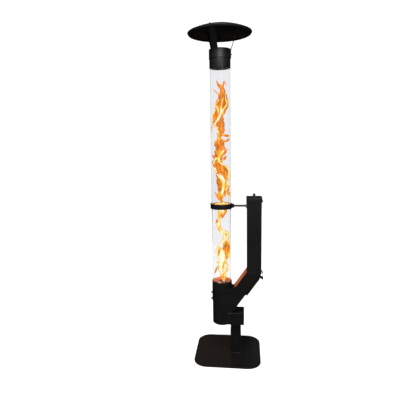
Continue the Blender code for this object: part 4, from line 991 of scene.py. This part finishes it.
upper_tongues = [
    (0.22, 0, [
        (-13, 1075, 11.4), (4, 1121, 25.6), (10, 1167, 34.2), (4, 1207, 33.1), (7, 1253, 39.9),
        (-7, 1294, 31.3), (-22, 1334, 27.4), (-13, 1374, 29.6), (-2, 1414, 31.3), (-7, 1455, 23.9),
        (-10, 1483, 12.5), (1, 1518, 22.8), (7, 1552, 20.5), (-7, 1581, 31.3), (-16, 1616, 33.1),
        (-2, 1650, 33.1), (7, 1685, 41), (10, 1713, 35.3), (10, 1742, 20.5), (15, 1771, 17.1),
        (7, 1794, 11.4), (-13, 1817, 7.4), (-21, 1845, 0.6),
    ]),
    (0.6, 9, [
        (58, 1075, 0.6), (47, 1110, 5.7), (32, 1138, 8), (41, 1167, 6.8), (41, 1202, 6.8),
        (51, 1236, 7.4), (54, 1268, 7.4), (35, 1294, 8), (7, 1311, 8.5), (-13, 1337, 9.1),
        (-7, 1363, 8), (10, 1391, 9.1), (13, 1420, 9.1), (-2, 1455, 7.4), (-13, 1483, 6.3),
        (-13, 1512, 5.7), (-27, 1544, 5.1), (-47, 1575, 5.1), (-53, 1604, 4.6), (-39, 1644, 4),
        (-25, 1667, 0.6),
    ]),
    (0.72, 14, [
        (-16, 1072, 0.6), (-7, 1104, 7.4), (7, 1133, 9.7), (13, 1167, 11.4), (10, 1202, 10.3),
        (-7, 1230, 8.5), (-27, 1259, 6.8), (-39, 1288, 6.3), (-44, 1328, 6.3), (-36, 1348, 5.7),
        (-13, 1360, 6.8), (4, 1391, 6.8), (4, 1420, 3.4), (-2, 1437, 0.6),
    ]),
    (1.0, 19, [
        (4, 1110, 0.6), (13, 1144, 5.1), (17, 1184, 8), (13, 1219, 9.1), (-2, 1242, 5.1),
        (-13, 1259, 0.6),
    ]),
    (0.95, 17, [
        (-44, 1563, 0.6), (-30, 1581, 5.1), (-13, 1604, 6.8), (0, 1633, 7.4), (4, 1659, 5.7),
        (7, 1685, 3.4), (13, 1719, 0.6),
    ]),
    (0.7, 13, [
        (-36, 1567, 0.6), (-22, 1593, 5.7), (-2, 1627, 6.8), (15, 1656, 6.3), (32, 1679, 5.7),
        (41, 1702, 5.1), (30, 1731, 4.6), (32, 1759, 2.8), (28, 1771, 0.6),
    ]),
    (0.66, 12, [
        (-19, 1627, 0.6), (-13, 1650, 5.7), (-22, 1673, 6.8), (-30, 1690, 5.7), (-19, 1708, 4.6),
        (-7, 1725, 4), (-2, 1742, 0.6),
    ]),
    (0.62, 16, [
        (-2, 1650, 0.6), (4, 1679, 4), (10, 1708, 4), (19, 1731, 3.4), (21, 1759, 2.3),
        (19, 1782, 0.6),
    ]),
    (0.26, 5, [
        (15, 1754, 8), (19, 1777, 10.3), (16, 1800, 7.4), (23, 1826, 5.1), (27, 1841, 0.6),
    ]),
    (0.24, 3, [
        (25, 1834, 1.7), (34, 1822, 2.8), (39, 1808, 0.6),
    ]),
    (0.3, 8, [
        (10, 1745, 0.6), (4, 1753, 5.1), (-13, 1755, 4.6), (-28, 1770, 3.4), (-44, 1787, 0.6),
    ]),
    (0.24, 4, [
        (19, 1642, 0.6), (35, 1667, 9.1), (48, 1699, 5.7), (41, 1736, 4.6), (35, 1759, 0.6),
    ]),
    (0.22, -4, [
        (-56, 1512, 0.6), (-57, 1529, 1.7), (-55, 1550, 2.8), (-52, 1570, 0.6),
    ]),
    (0.3, 6, [
        (2, 1529, 0.6), (14, 1505, 8), (32, 1496, 8), (51, 1496, 6.8), (63, 1496, 1.1),
    ]),
    (0.32, 10, [
        (-2, 1483, 0.6), (13, 1466, 6.8), (32, 1460, 6.3), (52, 1473, 7.4), (62, 1492, 1.7),
    ]),
    (0.24, 2, [
        (-10, 1466, 4.6), (-28, 1455, 10.3), (-36, 1440, 6.8), (-25, 1417, 5.7), (-19, 1391, 4.6),
        (-30, 1371, 10.3), (-50, 1363, 5.7), (-54, 1377, 0.6),
    ]),
    (0.34, 12, [
        (-2, 1351, 0.6), (14, 1374, 6.8), (31, 1394, 6.8), (42, 1416, 1.1),
    ]),
    (0.26, 7, [
        (7, 1328, 0.6), (19, 1345, 8), (32, 1360, 6.8), (42, 1364, 1.1),
    ]),
    (0.12, 11, [
        (-44, 1288, 0.6), (-39, 1308, 13.7), (-44, 1328, 11.4), (-44, 1348, 0.6),
    ]),
    (0.16, 15, [
        (-16, 1248, 0.6), (4, 1265, 17.1), (10, 1282, 19.4), (-2, 1305, 9.1), (-13, 1322, 0.6),
    ]),
    (0.14, 9, [
        (-7, 1167, 0.6), (-15, 1190, 13.7), (-16, 1210, 9.1), (-10, 1230, 0.6),
    ]),
    (0.22, 4, [
        (-7, 1081, 0.6), (-22, 1101, 10.3), (-33, 1121, 5.7), (-41, 1132, 0.6),
    ]),
    (0.24, 6, [
        (67, 1092, 0.6), (55, 1115, 8), (41, 1138, 9.1), (50, 1161, 5.1), (55, 1179, 0.6),
    ]),
    (0.6, 12, [
        (-3, 1478, 0.6), (-9, 1466, 4.6), (-13, 1443, 5.1), (-7, 1420, 4.6), (-2, 1397, 3.4),
        (-7, 1374, 0.6),
    ]),
    (0.62, 38, [
        (-46, 1055, 0.5), (-34, 1058, 4.5), (-12, 1060, 6.5), (10, 1060, 6.5), (34, 1058, 4.5),
        (46, 1055, 0.5),
    ]),
]
for place, tongues, reach in (("lower", lower_tongues, 0.0575), ("upper", upper_tongues, 0.0590)):
    for number, (heat, depth, points) in enumerate(tongues, 1):
        tongue(f"{place}_flame_{number}", heat, depth, points, reach)

# Studio: a pale floor, an even white surround and soft lamps. Floor and surround are kept out of
# reflections, so the dark coats mirror the lamps only. Nothing here is the heater.
floor_mesh = bpy.data.meshes.new("studio_floor")
reach = 30.0
corners = [(-reach, -reach, 0.0), (reach, -reach, 0.0), (reach, reach, 0.0), (-reach, reach, 0.0)]
floor_mesh.from_pydata(corners, [], [(0, 1, 2, 3)])
floor = bpy.data.objects.new("studio_floor", floor_mesh)
bpy.context.scene.collection.objects.link(floor)
paper = Finish("studio_paper", Roughness=0.9, Specular_IOR_Level=0.0)
tooth = paper.noise(paper.place(), 3.0, 2.0)
floor_mesh.materials.append(paper.drive(
    Base_Color=paper.blend(tooth, (0.93, 0.93, 0.93, 1.0), (0.95, 0.95, 0.95, 1.0))
))
floor.visible_glossy = False

world = bpy.data.worlds.new("studio_surround")
world.use_nodes = True
world.node_tree.nodes["Background"].inputs["Color"].default_value = (1.0, 1.0, 1.0, 1.0)
world.node_tree.nodes["Background"].inputs["Strength"].default_value = 1.08
bpy.context.scene.world = world
world.cycles_visibility.glossy = False


def lamp(name, place, target, size, power, colour=(1.0, 1.0, 1.0), spread=180.0):
    """A rectangular soft lamp aimed at a point, itself out of sight, with a spread in degrees."""
    light = bpy.data.lights.new(name, "AREA")
    light.shape = "RECTANGLE"
    light.size, light.size_y = size
    light.energy = power
    light.color = colour
    light.spread = np.radians(spread)
    made = bpy.data.objects.new(name, light)
    made.location = place
    made.rotation_euler = (Vector(target) - Vector(place)).to_track_quat("-Z", "Y").to_euler()
    made.visible_camera = False
    made.visible_transmission = False
    bpy.context.scene.collection.objects.link(made)


lamp("key_lamp", (1.25, -2.9, 1.9), (0.0, 0.0, 1.2), (1.4, 2.4), 20.0)
lamp("fill_lamp", (-2.6, -1.8, 1.6), (0.0, 0.0, 1.0), (1.2, 2.4), 2.0, (1.0, 0.97, 0.94))
lamp("edge_lamp", (0.0, -1.35, 3.1), (0.05, 0.0, 0.30), (1.2, 0.4), 90.0)
lamp("warm_lamp", (-0.60, 2.07, 0.25), (0.09, 0.0, 0.50), (0.4, 0.4), 0.17, (1.0, 0.25, 0.08), 40.0)
lamp("cool_back_lamp", (2.4, 2.6, 1.8), (0.1, 0.0, 0.3), (1.6, 2.2), 2.0, (0.86, 0.92, 1.0))
lamp("backdrop_left_lamp", (-0.60, 3.2, 1.95), (0.0, 0.0, 0.3), (1.2, 0.7), 0.10, (1.0, 0.74, 0.56), 90.0)
lamp("backdrop_right_lamp", (0.80, 3.2, 1.95), (0.1, 0.0, 0.3), (1.2, 0.7), 0.12, (0.76, 0.84, 1.0), 90.0)


def ember(name, height, power):
    """A small round lamp on the tube's axis: the light that the fire throws on the metal round it."""
    light = bpy.data.lights.new(name, "POINT")
    light.shadow_soft_size = 0.012
    light.energy = power
    light.color = (1.0, 0.55, 0.22)
    made = bpy.data.objects.new(name, light)
    made.location = (TUBE_X, 0.0, height)
    made.visible_camera = False
    made.visible_transmission = False
    bpy.context.scene.collection.objects.link(made)


ember("burner_ember", 0.565, 2.6)
ember("coupling_ember", 1.100, 2.4)

# Camera: at eye height, looking a little down and across the front of the heater.
eye = (0.1282, -2.5128, 1.4714)
yaw, pitch, roll = np.radians(6.99), np.radians(8.88), -0.0187
forward = np.array([-np.sin(yaw) * np.cos(pitch), np.cos(yaw) * np.cos(pitch), -np.sin(pitch)])
right = np.array([np.cos(yaw), np.sin(yaw), 0.0])
up = np.cross(right, forward)
across = np.cos(roll) * right + np.sin(roll) * up
above = -np.sin(roll) * right + np.cos(roll) * up
lens = bpy.data.cameras.new("studio_camera")
lens.lens = 34.55
lens.sensor_width = 36.0
camera = bpy.data.objects.new("studio_camera", lens)
pose = Matrix(np.stack([across, above, -forward], axis=1).tolist()).to_4x4()
camera.matrix_world = Matrix.Translation(eye) @ pose
bpy.context.scene.collection.objects.link(camera)
bpy.context.scene.camera = camera
bpy.context.scene.view_settings.view_transform = "Standard"
